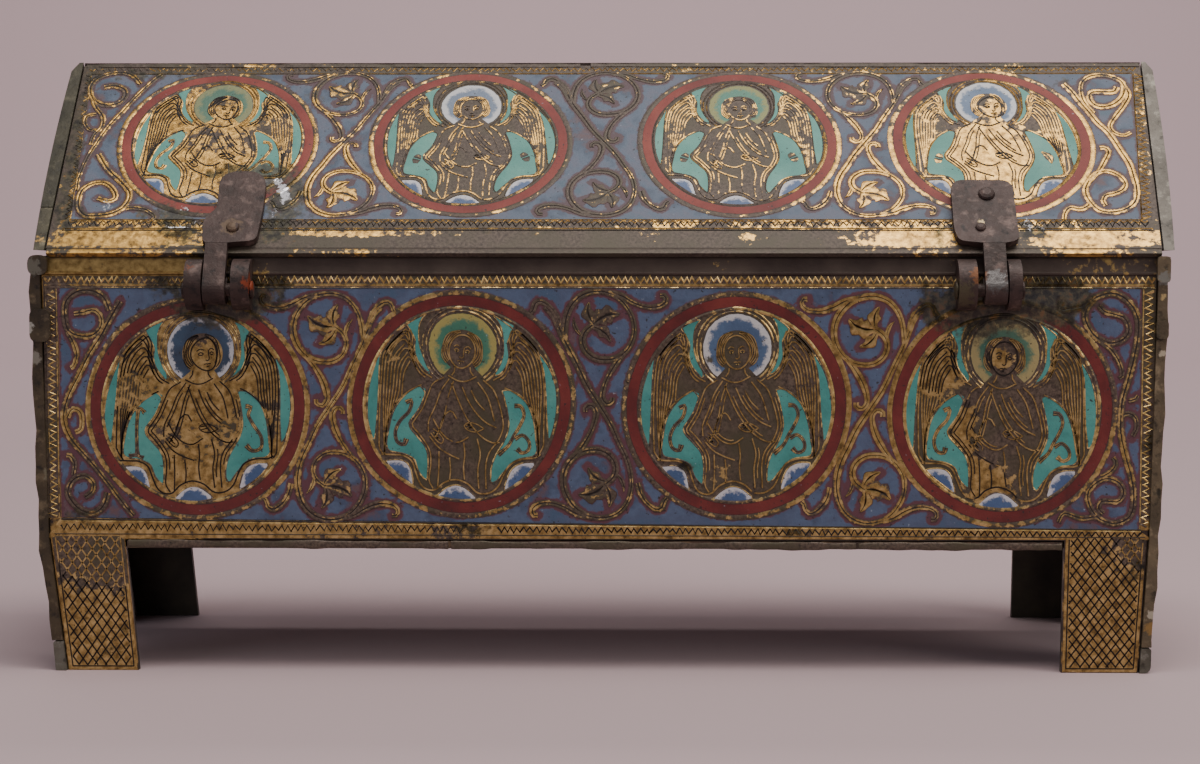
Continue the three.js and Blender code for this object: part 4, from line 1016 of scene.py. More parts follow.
def fieldPieces(panel, roundels, field, design, ends, step):
    # blue ground and scrollwork of one long side, between and around its roundels
    scroll, spines = [], [circlePath(choice["centre"], choice["radius"], 0.5) for choice in roundels]
    for number, (first, second) in enumerate(zip(roundels, roundels[1:])):
        middle = (np.array(first["centre"]) + np.array(second["centre"])) / 2
        made, paths = scrollParts(middle, design, number == 1, panel["gildingAt"])
        scroll += made
        spines += paths
    for label in ends:
        made, paths = endScrollParts(label, panel["gildingAt"])
        scroll += made
        spines += paths
    rows = np.linspace(0, 1, int(47 / step))[:, None]
    (leftLow, leftHigh), (rightLow, rightHigh) = field
    ground = groundPart(np.array([leftLow]) * (1 - rows) + np.array([leftHigh]) * rows,
                        np.array([rightLow]) * (1 - rows) + np.array([rightHigh]) * rows, spines, step,
                        [choice["centre"][0] for choice in roundels])
    return [ground], scroll


print("front panel")
fieldFront = {"left": -108.3, "right": 108.6, "bottomLeft": 31.0, "bottomRight": 28.9, "top": 77.3}
bodyRoundels = [
    {"centre": (-80.3, 53.2), "radius": 21.6, "gilding": 0.9, "lines": 0.3, "nudge": 0.3, "tilt": 4, "turn": 1,
     "tendrils": "bar", "doubled": True,
     "spots": [(-0.62, 0.15, 0.3, -0.62), (0.62, -0.1, 0.25, -0.5), (0.3, -0.2, 0.2, -0.4), (0.0, -0.4, 0.25, -0.35),
               (-0.3, -0.25, 0.2, -0.35), (0.05, 0.8, 0.2, -0.5)],
     "rim": 0.85, "halo": ("#202b3c", "#38506a", "#b4b6bb")},
    {"centre": (-27.25, 54.1), "radius": 22.0, "gilding": -0.12, "lines": 0.32, "nudge": 1.9, "tilt": -8, "turn": 0,
     "tendrils": "curl", "doubled": False, "spots": [(-0.6, 0.45, 0.22, 0.4), (-0.2, -0.72, 0.2, 0.3)],
     "rim": 1.5, "halo": ("#2a5f50", "#3b6f58", "#948a4c")},
    {"centre": (27.9, 53.7), "radius": 22.0, "gilding": -0.12, "lines": 0.32, "nudge": 3.1, "tilt": 2, "turn": 0,
     "tendrils": "curl", "doubled": True, "spots": [(-0.13, -0.62, 0.17, 0.6)],
     "rim": 1.15, "halo": ("#3a4e6c", "#4c6280", "#bab8b8")},
    {"centre": (81.1, 52.5), "radius": 22.0, "gilding": -0.05, "lines": 0.34, "nudge": 4.4, "tilt": -5, "turn": 0,
     "tendrils": "curl", "doubled": True,
     "spots": [(-0.62, 0.4, 0.3, 0.9), (-0.33, 0.0, 0.15, 0.7), (-0.36, -0.2, 0.15, 0.7), (-0.3, -0.5, 0.15, 0.7),
               (-0.15, -0.62, 0.2, 0.8), (0.0, -0.8, 0.25, 0.6), (-0.03, 0.5, 0.14, 0.95)],
     "rim": 1.8, "halo": ("#2f5b4c", "#4d6e58", "#95885a")},
]
frontPanel = {
    "name": "front", "place": onFront, "body": "case", "finish": bodyFinish, "warp": (0.12, 6.0, 0.7),
    "gildingAt": lambda uv: blobs(uv, [(54, 62, 14, 0.6), (54, 40, 12, 0.3), (-54, 56, 20, 0.32), (-104, 58, 12, 0.2),
                                       (104, 40, 12, 0.12), (0, 54, 25, -0.12)], 0.3),
    "stains": [(-76, 74, 10, 4.5, 1.0), (-66, 78, 7, 3.5, 0.65), (-88, 78, 6, 3, 0.5), (80, 73.5, 12, 5.5, 1.15),
               (93, 75, 6, 4, 0.9), (91, 79, 6, 2, 0.6), (67, 74, 4, 4, 0.6), (-104, 32, 6, 3.5, 0.5),
               (103, 30, 6, 2, 0.35), (110.5, 47, 1.6, 5, 0.6), (-26, 29, 5, 1.4, 0.6), (40, 28.5, 5, 1.4, 0.5),
               (-108, 44, 3, 6, 0.3), (-103, 25, 6, 6, 0.12), (-96, 4, 4, 6, 0.4), (108, 20, 3, 6, 0.45),
               (-60, 28, 14, 1, 0.25), (17.8, 41.5, 2.4, 1.6, 0.9), (22, 63, 1.2, 1.2, 0.8),
               (-10, 80.4, 90, 0.5, 0.3)],
    "chalk": [(-111, 70, 2, 4, 0.35), (-58, 76.5, 5, 1, 0.25)],
}
# a field's left and right sides, each from its lower point to its upper one
f = fieldFront
frontField = (((f["left"], f["bottomLeft"]), (f["left"], f["top"])),
              ((f["right"], f["bottomRight"]), (f["right"], f["top"])))
frontGround, frontScroll = fieldPieces(frontPanel, bodyRoundels, frontField, (1.0, 1.0), ("bodyLeft", "bodyRight"),
                                       0.66)
makePiece("front_blue_ground", frontGround, frontPanel, bodyFinish["blue"])
makePiece("front_scrollwork", frontScroll, frontPanel, giltWork)
roundelPieces(frontPanel, bodyRoundels)

print("lid front slope")
fieldLid = {"left": -106.6, "right": 109.3, "bottom": 7.8, "top": 49.6, "leftLean": -1.3, "rightLean": 3.1}
lidRoundels = [
    {"centre": (-79.2, 29.5), "radius": 19.9, "gilding": 0.85, "lines": 0.5, "nudge": 0.9, "tilt": -10, "turn": 1,
     "tendrils": "curl", "doubled": True,
     "spots": [(0.62, 0.1, 0.3, -0.85), (-0.1, 0.0, 0.3, -0.25), (0.0, 0.85, 0.3, -0.5)],
     "rim": 1.4, "halo": ("#345c4c", "#4a6c56", "#747850")},
    {"centre": (-26.7, 29.5), "radius": 20.1, "gilding": -0.44, "lines": 0.15, "nudge": 2.6, "tilt": 3, "turn": 0,
     "tendrils": "leaf", "doubled": True, "spots": [(-0.1, 0.2, 0.12, 0.3)], "rim": 1.35,
     "halo": ("#56657a", "#6c7a8e", "#bcbcbe")},
    {"centre": (28.9, 29.5), "radius": 20.1, "gilding": -0.44, "lines": 0.2, "nudge": 5.2, "tilt": 3, "turn": 0,
     "tendrils": "leaf", "doubled": True, "spots": [(0.2, -0.42, 0.12, 0.6)], "rim": 1.3,
     "halo": ("#36705f", "#467a63", "#7f7f48")},
    {"centre": (80.9, 29.5), "radius": 20.3, "gilding": 0.12, "lines": 0.45, "nudge": 3.7, "tilt": 5, "turn": 1,
     "tendrils": "leaf", "doubled": True,
     "spots": [(-0.05, -0.12, 0.42, 1.1), (0.0, -0.6, 0.4, 1.0), (0.08, 0.5, 0.15, 0.6), (-0.6, 0.4, 0.1, 0.6),
               (0.62, -0.05, 0.16, 0.5), (0.1, 0.75, 0.3, -0.2)], "rim": 1.15,
     "halo": ("#4e6480", "#647892", "#c0c1c3")},
]
lidPanel = {
    "name": "lid", "place": onSlope, "body": "lid", "finish": lidFinish, "warp": (0.12, 6.0, 2.1),
    "gildingAt": lambda uv: blobs(uv, [(-54, 20, 13, 0.5), (-54, 40, 10, 0.1), (54, 22, 15, 0.5), (-103, 40, 14, 0.3),
                                       (-98, 14, 10, 0.3), (106, 30, 18, 0.6), (88, 12, 12, 0.3), (0, 30, 25, -0.15)],
                                  0.2),
    "stains": [(-73, 20.5, 8, 3.5, 0.95), (-63, 14, 6, 9, 0.75), (-87, 9, 6, 4, 0.7), (-84, 3.5, 4, 3.5, 0.7),
               (-65, 4, 4, 4, 0.6), (87, 5, 4, 4, 0.65), (69, 3, 3, 4, 0.6), (-108.5, 28, 2.4, 34, 0.6),
               (-104, 9, 9, 4, 0.4), (-95, 49.5, 11, 2, 0.6), (-58, 45, 5, 6, 0.4), (-15, 4.2, 50, 1.0, 0.3),
               (96, 47, 6, 3, 0.35), (114, 30, 1.2, 30, 0.35)],
    "chalk": [(-65.8, 18.5, 1.5, 1.2, 1.2), (-64.2, 16.3, 1.6, 1.8, 1.3), (-63.8, 13.4, 1.5, 2.2, 1.2),
              (-65.6, 9.5, 1.0, 2.0, 0.9), (-82.5, 14.2, 3.0, 1.0, 1.2), (-84, 10.5, 1.4, 1.4, 1.0),
              (-85, 5.6, 4.0, 0.5, 1.2), (-81, 7.5, 0.7, 2.5, 1.0), (-100, 12, 3, 2.5, 0.95),
              (86.3, 7, 0.9, 3.5, 1.1), (88.5, 5.5, 2.0, 0.8, 0.9), (67.5, 15, 2.5, 1, 0.5)],
}


def lidLeftAt(v):
    return -110.4 + 0.6 * v / slopeLength


def lidRightAt(v):
    return 112.3 + 1.9 * v / slopeLength


f = fieldLid
lidField = (((f["left"], f["bottom"]), (f["left"] + f["leftLean"], f["top"])),
            ((f["right"], f["bottom"]), (f["right"] + f["rightLean"], f["top"])))
lidGround, lidScroll = fieldPieces(lidPanel, lidRoundels, lidField, (0.98, 0.9), ("lidLeft", "lidRight"), 0.66)
makePiece("lid_blue_ground", lidGround, lidPanel, lidFinish["blue"])
makePiece("lid_scrollwork", lidScroll, lidPanel, lidFinish["work"])
roundelPieces(lidPanel, lidRoundels)


def marginPlate(edges, gildingAt, columns=7):
    # the metal margin between two edges, each from one point to another, its gilding worked out at each point
    upper, lower = (straight(*edge) for edge in edges)
    made = patch(upper, lower, levels["ground"], 0.02, columns, across=0.5)
    made["gilding"] = gildingAt(made["uv"])
    return made


def fineLine(start, end, half, gilding, across=fineRidge):
    path = straight(start, end)
    return band(path, half, levels["ground"] + 0.02, lineRise, lineSection, across=across,
                gilding=gilding(path) if callable(gilding) else gilding)


def frontMargins():
    f = fieldFront
    ends = {"left": -111.15, "right": 111.35, "top": 79.75, "bottom": 26.95}

    def plateGilding(uv):
        # the lower margin is mostly gilt, the upper and side ones are worn between their teeth
        low = np.clip((32 - uv[:, 1]) / 2, 0, 1)
        return 0.12 + low * blobs(uv, [(-60, 29, 26, -0.12), (-26, 29, 8, -0.3)], 0.72)

    def toothGilding(uv):
        return blobs(uv, [(20, 79, 60, 0.5), (100, 79, 30, 0.5), (110, 55, 26, 0.42), (-110, 50, 30, 0.3),
                          (-20, 79, 40, 0.2)], 0.3)

    (lowLeft, topLeft), (lowRight, topRight) = frontField
    plates = [marginPlate(edges, plateGilding) for edges in (
        (((ends["left"], ends["top"]), (ends["right"], ends["top"])),
         ((ends["left"], f["top"]), (ends["right"], f["top"]))),
        ((lowLeft, lowRight), ((ends["left"], ends["bottom"]), (ends["right"], ends["bottom"]))),
        ((topLeft, lowLeft), ((ends["left"], f["top"]), (ends["left"], f["bottomLeft"]))),
        ((topRight, lowRight), ((ends["right"], f["top"]), (ends["right"] - 0.3, f["bottomRight"]))))]
    lines = [
        toothRow((-110.9, 79.0), (111.0, 79.0), toothGilding, pitch=1.22, swing=0.52, half=0.33),
        toothRow((-108.2, 29.25), (-27, 28.85), lambda uv: 0.45, swing=0.55, half=0.2, dark=True),
        toothRow((-20, 28.8), (109.0, 28.05), lambda uv: 0.45, half=0.24, swing=0.5, dark=True),
        toothRow((-109.75, 76.8), (-109.65, 31.2), toothGilding, swing=0.62, half=0.28),
        toothRow((110.1, 76.8), (109.9, 29.4), toothGilding, swing=0.68, half=0.3),
        fineLine((-110.9, 78.0), (111.0, 78.0), 0.26, toothGilding),
        fineLine((-110.9, 77.5), (111.0, 77.5), 0.12, 0.2),
        fineLine((-108.2, 30.75), (109.0, 28.95), 0.13, 0.1, cutLevels),
        fineLine((-108.2, 30.3), (109.0, 28.6), 0.16, 0.8),
        fineLine((-109.6, 27.75), (109.8, 27.45), 0.1, 0.1, cutLevels),
        fineLine((-108.55, 77.2), (-108.55, 31.0), 0.14, toothGilding),
        fineLine((-110.75, 77.2), (-110.2, 31.0), 0.12, 0.3),
        fineLine((108.9, 77.2), (108.8, 29.2), 0.14, toothGilding),
    ]
    return plates, lines


footPlates = {
    "left": {"outer": ((-106.9, 0.15), (-110.1, 27.3)), "inner": ((-93.1, 0.15), (-95.55, 27.3)),
             "diamond": (1.95, 2.75)},
    "right": {"outer": ((108.55, 0.15), (110.15, 27.3)), "inner": ((93.6, 0.15), (94.0, 27.3)),
              "diamond": (1.75, 2.25)},
}


def footParts(choice, gildingAt, seed):
    # a gilt plate, two families of crossing cuts kept inside its outline, and a border line
    (ox0, z0), (ox1, z1) = choice["outer"]
    (ix0, _), (ix1, _) = choice["inner"]
    sideLow, sideHigh = sorted([(ox0, ox1), (ix0, ix1)])
    plate = marginPlate([((side[0], z0), (side[1], z1)) for side in (sideLow, sideHigh)], gildingAt, 19)
    wide, tall = choice["diamond"]
    rng = np.random.default_rng(seed)
    lines = []
    lean = tall / wide
    low, high = min(ox0, ox1, ix0, ix1), max(ox0, ox1, ix0, ix1)

    def cutLine(path, half):
        # dark where the gilding is whole, gold in the burr where it has worn off
        level = gildingAt(path)
        return band(path, half, levels["ground"] + 0.015, 0.04, cutSection,
                    across=np.where(level > 0.4, 0.0, 0.5)[:, None], gilding=np.where(level > 0.4, 0.1, 0.6))

    for way in (1, -1):
        for start in np.arange(low - 27, high + 27, wide):
            x = np.linspace(start, start + 27 / lean, 60) if way > 0 else np.linspace(start + 27 / lean, start, 60)
            z = np.linspace(z0, z1, 60)
            x = x + rng.normal(0, 0.12) + 0.12 * np.sin(z / 4 + rng.uniform(0, 6))
            share = (z - z0) / (z1 - z0)
            inside = (x > sideLow[0] + (sideLow[1] - sideLow[0]) * share + 0.9) & (
                x < sideHigh[0] + (sideHigh[1] - sideHigh[0]) * share - 0.9) & (z > 0.9)
            if inside.sum() > 4:
                lines.append(cutLine(np.column_stack([x, z])[inside], 0.15))
    for (xLow, xHigh), shift in ((sideLow, 0.7), (sideHigh, -0.7)):
        lines.append(cutLine(straight((xLow + shift, z0 + 0.7), (xHigh + shift, z1 - 0.3)), 0.13))
    lines.append(cutLine(straight((sideLow[0] + 0.7, z0 + 0.7), (sideHigh[0] - 0.7, z0 + 0.7)), 0.13))
    return [plate], lines


def lidMargins():
    f = fieldLid

    def bandGilding(uv):
        bare = np.clip((0.9 - uv[:, 1]) / 0.9, 0, 0.5)
        low = uv[:, 1] < 5
        upper = np.clip((uv[:, 1] - 2.6) / 1.0, 0, 1)
        level = blobs(uv, [(-96, 2.5, 17, 0.85), (63, 3, 13, 0.8), (99, 2.5, 14, 0.85), (10, 3.6, 3, 0.4),
                           (31, 3.4, 3, 0.35)], 0.06)
        level = level + low * upper * blobs(uv, [(-48, 4, 20, 0.6)], 0.0) - 0.6 * bare
        return np.where(low, level, blobs(uv,
                                          [(60, 7, 50, 0.4), (-90, 7, 20, 0.5), (0, 7, 40, 0.15),
                                           (113, 30, 16, 0.15)], 0.08))

    def toothGilding(uv):
        return blobs(uv, [(30, 51, 60, 0.25), (90, 51, 25, 0.4), (-95, 6.5, 26, 0.3), (80, 6.5, 45, 0.45),
                          (114, 35, 25, 0.55),
                          (-109, 30, 30, -0.1), (0, 6.5, 50, 0.12)], 0.27)

    top, low = 52.3, 0.1

    def across(v):
        # the slope's full width at a height
        return (lidLeftAt(v), v), (lidRightAt(v), v)

    leftSide, rightSide = zip(across(f["bottom"]), across(f["top"]))
    plates = [marginPlate(edges, bandGilding, columns) for edges, columns in (
        ((across(f["bottom"]), across(low)), 19), ((across(top), across(f["top"])), 7),
        ((lidField[0], leftSide), 7), ((rightSide, lidField[1]), 7))]
    lines = [
        toothRow((-107.0, 6.6), (110.5, 6.6), lambda uv: 0.2, swing=0.6, half=0.24, dark=True),
        toothRow((-107.0, 7.2), (110.5, 7.2), toothGilding, swing=0.3, half=0.16, pitch=1.4),
        toothRow((-108.6, 51.1), (113.2, 51.1), toothGilding, swing=0.42, half=0.2),
        toothRow((-107.3, 8.0), (-108.6, 49.6), toothGilding, swing=0.45, half=0.2),
        toothRow((110.4, 8.0), (113.5, 49.6), toothGilding, swing=0.7, half=0.32),
        fineLine((-108.0, 5.35), (111.3, 5.35), 0.17, toothGilding),
        fineLine((-108.0, 4.85), (111.3, 4.85), 0.16, 0.1, cutLevels),
        fineLine((-106.8, 7.75), (109.6, 7.75), 0.14, toothGilding),
        fineLine((-108.0, 49.9), (112.4, 49.9), 0.13, toothGilding),
        fineLine((109.4, 8.0), (112.5, 49.6), 0.12, toothGilding),
        fineLine((-106.7, 8.0), (-108.05, 49.6), 0.12, toothGilding),
    ]
    return plates, lines


print("margins and feet")
marginPlates, marginLines = frontMargins()
makePiece("front_margins", marginPlates, frontPanel, giltPlate, still=True)
makePiece("front_border_teeth", marginLines, frontPanel, giltWork, still=True)


def footGilding(uv):
    # the left foot is worn at its top, the right one nearly whole
    return blobs(uv, [(-103, 26, 8.5, -0.95), (-96, 20, 4, -0.5), (109, 24, 4, -0.5), (105, 26, 4, -0.35),
                      (98, 2, 4, -0.2)], 0.85)


feet = {side: footParts(choice, footGilding, seed) for (side, choice), seed in zip(footPlates.items(), (3, 4))}
for side, (plates, lines) in feet.items():
    makePiece(f"{side}_front_foot_plate", plates, frontPanel, giltPlate, still=True)
    makePiece(f"{side}_front_foot_cuts", lines, frontPanel, giltWork, still=True)
lidPlates, lidLines = lidMargins()
makePiece("lid_margins", lidPlates, lidPanel, lidFinish["plate"], still=True)
makePiece("lid_border_teeth", lidLines, lidPanel, lidFinish["work"], still=True)

# the front slope's lower edge is folded down; half is half its width, in mm like the rest
lowerLip = {"from": (-110.35, -0.6), "to": (112.3, -0.6), "half": 0.74, "base": -0.9, "rise": 0.98,
            "section": {"shares": [0, 0, 0.12, 0.3, 0.7, 1, 1], "rises": [-1, 0.55, 0.9, 1, 1, 1, -1]},
            "spots": [(-96, 0, 17, 0.6), (-48, 0, 20, 0.35), (63, 0, 13, 0.45), (99, 0, 14, 0.6)]}
lip = straight(lowerLip["from"], lowerLip["to"], 0.6)
lipBand = band(lip, lowerLip["half"], lowerLip["base"], lowerLip["rise"], lowerLip["section"], across=0.5,
               gilding=blobs(lip, lowerLip["spots"], 0.0))
makePiece("lid_lower_lip", [lipBand], lidPanel, lidFinish["plate"], still=True)

print("ridge and floor edge")


def hammeredStrip(path, choice, seed):
    # a beaten strip: half width and thickness wander along it as sums of sines and a few square laps
    rng = np.random.default_rng(seed)
    at = np.r_[0, np.cumsum(np.hypot(*np.diff(path, axis=0).T))]
    wander = sum(np.sin(at / pitch + rng.uniform(0, 6)) * amount for pitch,
                 amount in ((5.3, 0.1), (2.1, 0.07), (0.9, 0.05)))
    laps = np.zeros(len(path))
    for start in rng.uniform(0, at[-1], 9):
        laps += (np.abs(at - start) < rng.uniform(2, 7)) * rng.uniform(-0.25, 0.35)
    half = choice["half"] * (1 + choice["rough"] * wander)
    rise = (choice["rise"] * (1 + 2.2 * choice["rough"] * wander + laps)).clip(0.08)
    section = {"shares": [0, 0, 0.1, 0.35, 0.65, 0.9, 1, 1], "rises": [-1, 0.3, 0.85, 1, 1, 0.85, 0.3, -1]}
    return band(path, half, choice["base"], rise[:, None], section, across=0.5,
                gilding=blobs(path, choice["spots"], choice["gilding"]))


ridgeEdge = {"runs": [((-109.4, 52.35), (-4.2, 52.3), 5), ((-2.0, 52.4), (114.0, 52.3), 6)], "half": 0.62,
             "base": -0.02, "rise": 0.3, "rough": 1.0,
             "spots": [(-70, 52, 18, 0.35), (20, 52, 10, 0.2), (95, 52, 20, 0.3)], "gilding": 0.02}
floorEdge = {"runs": [((-94.6, 25.85), (-30, 25.6), 11), ((-29.4, 25.65), (52, 25.55), 12),
                      ((52.5, 25.6), (93.2, 25.5), 13)], "half": 0.72,
             "base": 0.1, "rise": 0.22, "rough": 1.4, "spots": [(60, 26, 30, 0.12)], "gilding": -0.1}
for name, choice, panel in (("ridge_edge", ridgeEdge, lidPanel), ("floor_plate_edge", floorEdge, frontPanel)):
    makePiece(name, [hammeredStrip(straight(start, end, 0.5), choice, seed) for start, end, seed in choice["runs"]],
              panel, panel["finish"]["plate"], still=True)

print("back")
backPanel = {"name": "back", "place": onBack, "body": "case", "finish": bodyFinish, "warp": (0.12, 6.0, 1.9),
             "gildingAt": lambda uv: blobs(uv, [(54, 54, 20, 0.2), (-54, 40, 20, 0.3)], 0.35),
             "stains": [(-100, 34, 8, 5, 0.4), (104, 70, 6, 6, 0.35), (0, 29, 20, 1.5, 0.4)], "chalk": []}
backSlope = {"name": "lid_back", "place": onBackSlope, "body": "lid", "finish": lidFinish, "warp": (0.12, 6.0, 3.3),
             "gildingAt": lambda uv: blobs(uv, [(60, 30, 30, 0.2), (-80, 20, 20, 0.3)], 0.3),
             "stains": [(-104, 10, 8, 5, 0.4), (30, 48, 12, 3, 0.35), (108, 30, 3, 20, 0.4)], "chalk": []}
for panel, roundels, ground, scroll, plates, lines in (
        (backPanel, bodyRoundels, frontGround, frontScroll, marginPlates, marginLines),
        (backSlope, lidRoundels, lidGround, lidScroll, lidPlates, lidLines)):
    name, finish = panel["name"], panel["finish"]
    makePiece(name + "_blue_ground", flipped(ground), panel, finish["blue"])
    makePiece(name + "_scrollwork", flipped(scroll), panel, finish["work"])
    makePiece(name + "_margins", flipped(plates), panel, finish["plate"], still=True)
    makePiece(name + "_border_teeth", flipped(lines), panel, finish["work"], still=True)
    roundelPieces(panel, [{"centre": (-choice["centre"][0], choice["centre"][1]), "radius": choice["radius"],
                           "gilding": 0.25 + 0.2 * (number % 2), "lines": 0.4} for number,
                          choice in enumerate(roundels)])
for side, (plates, lines) in feet.items():
    makePiece(f"{side}_back_foot_plate", flipped(plates), backPanel, giltPlate, still=True)
    makePiece(f"{side}_back_foot_cuts", flipped(lines), backPanel, giltWork, still=True)

print("ends and gables")


def outerFace(nodeName, side):
    # the end plate's outermost x at each height, read from its own points
    data = nodes[nodeName].data
    points = np.empty(len(data.vertices) * 3, np.float32)
    data.vertices.foreach_get("co", points)
    points = points.reshape(-1, 3)[:, [0, 2]] / mm
    heights = np.unique(points[:, 1].round(1))
    outer = np.array([(side * points[np.abs(points[:, 1] - z) < 0.06, 0]).max() for z in heights])
    keep = outer > np.median(outer) - 4
    return heights[keep], outer[keep]


def endPlace(nodeName, side):
    heights, outer = outerFace(nodeName, side)

    def place(u, v, w):
        # u to the right as seen from outside, v up, w out of the plate
        return np.column_stack([side * (np.interp(v, heights, outer) + w), midY + side * u, v]) * mm
    return place


endRoundel = {"centre": (0.0, 55.0), "radius": 21.0, "gilding": 0.2, "lines": 0.35}
gableRoundel = {"centre": (0.0, 97.5), "radius": 9.6, "gilding": 0.2, "lines": 0.35}


# engraved lines of an end plate and a gable, in mm from the middle and the floor; insets are from their edges
endEngraving = {"middle": 55.0, "frames": [(35.0, 26.5), (33.2, 24.7)], "leafAt": (27, 18), "leafTurns": (-50, 0, 50),
                "leafReach": (0.6, 5.2)}
gableEngraving = {"insets": (2.6, 4.2), "base": 85.4}


def frameLines(corners, gildingAt):
    return [fineLine(start, end, 0.16, gildingAt, softCut) for start, end in zip(corners, corners[1:] + corners[:1])]


def endLines(gildingAt):
    choice, lines = endEngraving, []
    middle = choice["middle"]
    for wide, high in choice["frames"]:
        lines += frameLines([(-wide, middle + high), (wide, middle + high), (wide, middle - high),
                             (-wide, middle - high)], gildingAt)
    for left, up in ((-1, 1), (1, 1), (1, -1), (-1, -1)):
        corner = np.array([left * choice["leafAt"][0], middle + up * choice["leafAt"][1]])
        toMiddle = np.array([-corner[0], middle - corner[1]]) / math.hypot(*choice["leafAt"])
        for turn in choice["leafTurns"]:
            c, s = math.cos(math.radians(turn)), math.sin(math.radians(turn))
            way = np.array([toMiddle[0] * c - toMiddle[1] * s, toMiddle[0] * s + toMiddle[1] * c])
            start, end = choice["leafReach"]
            lines.append(leafBand(corner + way * start, corner - way * end, 1.3, 2, gilding=0.3))
    return lines


def gableLines(gildingAt):
    lines = []
    for inset in gableEngraving["insets"]:
        top = caseFrame["lidBase"] + caseFrame["lidRise"] - inset / math.cos(slopeAngle)
        base = gableEngraving["base"] + inset * 0.6
        wide = (top - base) / math.tan(slopeAngle)
        lines += frameLines([(-wide, base), (wide, base), (0.0, top)], gildingAt)
    return lines


for sideName, side in (("left", -1), ("right", 1)):
    plain = dict(body="case", finish=bodyFinish, warp=(0.1, 6.0, 1.0 + side),
                 gildingAt=lambda uv: blobs(uv, [(10, 50, 20, 0.2)], 0.32),
                 stains=[(-30, 34, 8, 6, 0.4), (28, 78, 8, 4, 0.4), (0, 84, 20, 3, 0.3)], chalk=[])
    endPanel = dict(plain, name=f"{sideName}_end", place=endPlace(f"{sideName}_end_plate", side))
    gablePanel = dict(plain, name=f"{sideName}_gable", body="lid", place=endPlace(f"lid_{sideName}_gable", side))
    roundelPieces(endPanel, [endRoundel])
    makePiece(f"{sideName}_end_engraving", endLines(endPanel["gildingAt"]), endPanel, giltWork,
              still=True)
    roundelPieces(gablePanel, [gableRoundel])
    makePiece(f"{sideName}_gable_engraving", gableLines(gablePanel["gildingAt"]), gablePanel, giltWork,
              still=True)

print("plates and hinges")
# each plate's outer face: the direction it looks in, and how far out it lies along that
sine, cosine = math.sin(slopeAngle), math.cos(slopeAngle)
frontFace, backFace = caseFrame["face"] - midY, caseFrame["face"] + midY
frontSlopeFace = frontFace * sine + caseFrame["lidBase"] * cosine
backSlopeFace = backFace * sine + (caseFrame["lidBase"] + caseFrame["ridgeStep"]) * cosine
# the front plate's gilding along its length: gold at the left end, dark in the middle, half gilt at the right end;
# partly worn gilding and partly painted shade, the lid's shadow on the rim band
rimWearAndShade = [(0.0, 0.9), (0.14, 0.85), (0.2, 0.45), (0.3, 0.25), (0.5, 0.1), (0.7, 0.3), (0.85, 0.6), (1.0, 0.55)]
evenStops = [(0.0, 0.3), (1.0, 0.3)]
dress("front_panel", makePlate("front_panel_copper", (0, -1, 0), frontFace, rimWearAndShade, ("#7a6038", "#b89a62")))
dress("back_panel", makePlate("back_panel_copper", (0, 1, 0), backFace, [(0.0, 0.5), (1.0, 0.6)]))
dress("lid_front_slope", makePlate("lid_front_copper", (0, -sine, cosine), frontSlopeFace, evenStops,
                                   ("#5f4826", "#a8844a")))
dress("lid_back_slope", makePlate("lid_back_copper", (0, sine, cosine), backSlopeFace, evenStops))
leftEndX, rightEndX = -115.3, 112.3
frontY = -34.9
dress("left_end_plate", makePatina("left_end_patina", ("#2d2418", "#4a3e2c", "#655742", "#1d1710"), spots=[
    {"at": (leftEndX, frontY, 69.5), "reach": 1.3, "color": "#9a978e", "roughness": 0.3},
    {"at": (leftEndX + 1, frontY, 63.5), "reach": 1.6, "color": "#7c776b", "roughness": 0.3},
    {"at": (leftEndX + 1, frontY, 81.5), "reach": 2.2, "color": "#5f5b50", "roughness": 0.4},
    {"at": (-111.0, frontY, 40.0), "reach": 2.2, "color": "#6a6350", "roughness": 0.4}]))
dress("right_end_plate", makePatina("right_end_patina", ("#4a4030", "#6a5c46", "#8a7a60", "#2a2418"), spots=[
    {"at": (rightEndX - 1, frontY, 79.5), "reach": 1.8, "color": "#77766e", "roughness": 0.35},
    {"at": (rightEndX - 1, frontY, 75.8), "reach": 0.8, "color": "#b39c6c", "roughness": 0.3},
    {"at": (rightEndX - 1, frontY, 64.5), "reach": 0.9, "color": "#b3a890", "roughness": 0.3},
    {"at": (109.8, frontY, 12.0), "reach": 1.1, "color": "#a39a88", "roughness": 0.5},
    {"at": (109.8, frontY, 9.0), "reach": 1.5, "color": "#86693a", "roughness": 0.4}]))
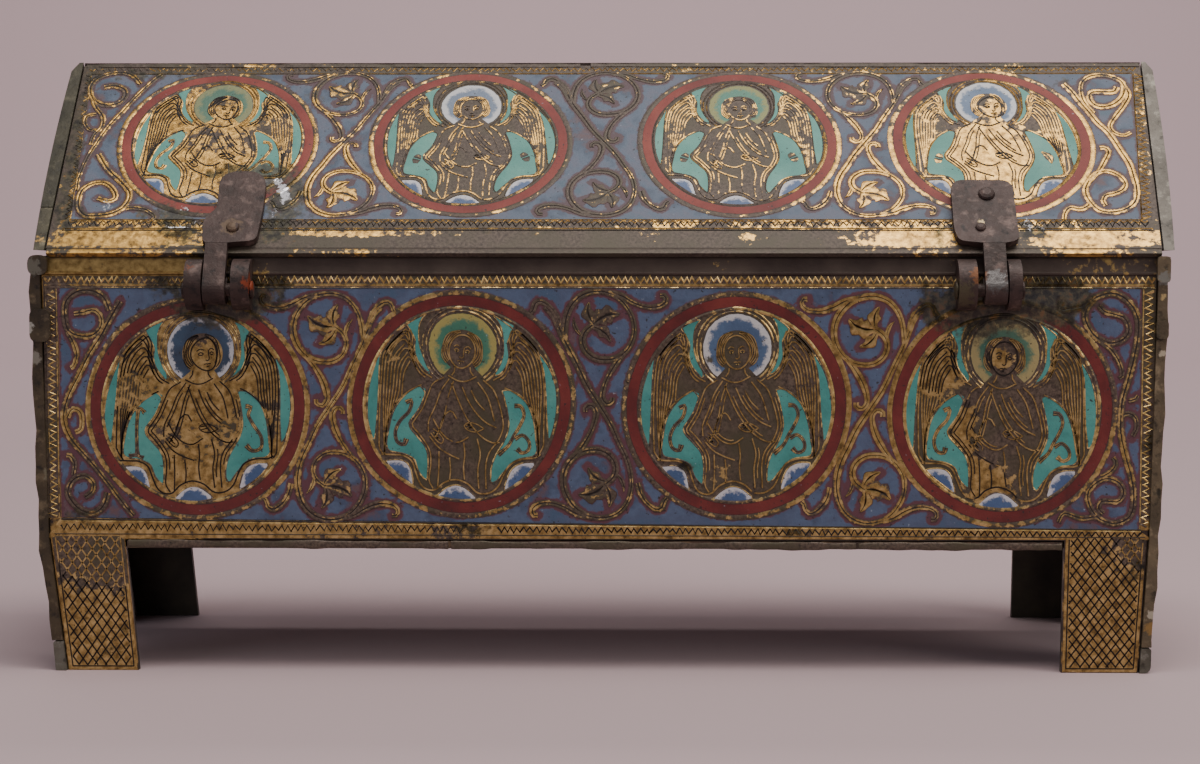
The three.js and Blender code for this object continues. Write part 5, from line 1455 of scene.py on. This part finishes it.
dress("lid_left_gable", makePatina("left_gable_patina", ("#2a271c", "#403c2e", "#524d3d", "#1b1811")))
dress("lid_right_gable", makePatina("right_gable_patina", ("#565048", "#6f6960", "#8b857a", "#353029")))
dress("lid_left_gable_mend", makePatina("gable_mend_patina", ("#3a3529", "#57523f", "#77705a", "#221e16"), spots=[
    {"at": (-113.6, -33.4, 88.0), "reach": 1.6, "color": "#b08a4a", "roughness": 0.4}]))
mendPatina = makePatina("mended_copper_patina", ("#4a463c", "#69655a", "#86837a", "#2e2a22"), metallic=0.5)
for name in ("left_foot_mend", "right_foot_mend"):
    dress(name, mendPatina)
dress("floor_plate", makePatina("floor_plate_patina", ("#33271f", "#4d3b30", "#67543f", "#1d1611")))
ironColors = ("#30231f", "#443430", "#62504a", "#1c1413")
hingeRust = {"left": [{"at": (-70.6, -38.5, 78.5), "reach": 2.0, "color": "#7e3418"},
                      {"at": (-83.0, -37.0, 80.5), "reach": 2.2, "color": "#6b3a22"},
                      {"at": (-75.0, -32.0, 89.5), "reach": 2.4, "color": "#5c4a3a"},
                      {"at": (-77.0, -39.6, 84.0), "reach": 1.5, "color": "#6a3e30"}],
             "right": [{"at": (74.2, -39.0, 80.0), "reach": 2.2, "color": "#6e4426"},
                       {"at": (77.5, -39.9, 79.5), "reach": 2.8, "color": "#54504f", "roughness": 0.35},
                       {"at": (71.0, -38.5, 76.5), "reach": 3.2, "color": "#4a4230"},
                       {"at": (77.4, -31.8, 88.6), "reach": 0.9, "color": "#c6c0bd"},
                       {"at": (78.9, -31.6, 88.8), "reach": 0.8, "color": "#b9b4b2"},
                       {"at": (78.1, -31.9, 88.3), "reach": 0.7, "color": "#7a3a34"},
                       {"at": (75.4, -31.4, 90.6), "reach": 0.8, "color": "#cbb58a"}]}
for sideName, spots in hingeRust.items():
    iron = makePatina(f"{sideName}_forged_iron", ironColors, metallic=0.35, spots=spots)
    for name in nodes:
        if name.startswith(sideName) and ("hinge" in name or "strap" in name):
            dress(name, iron)
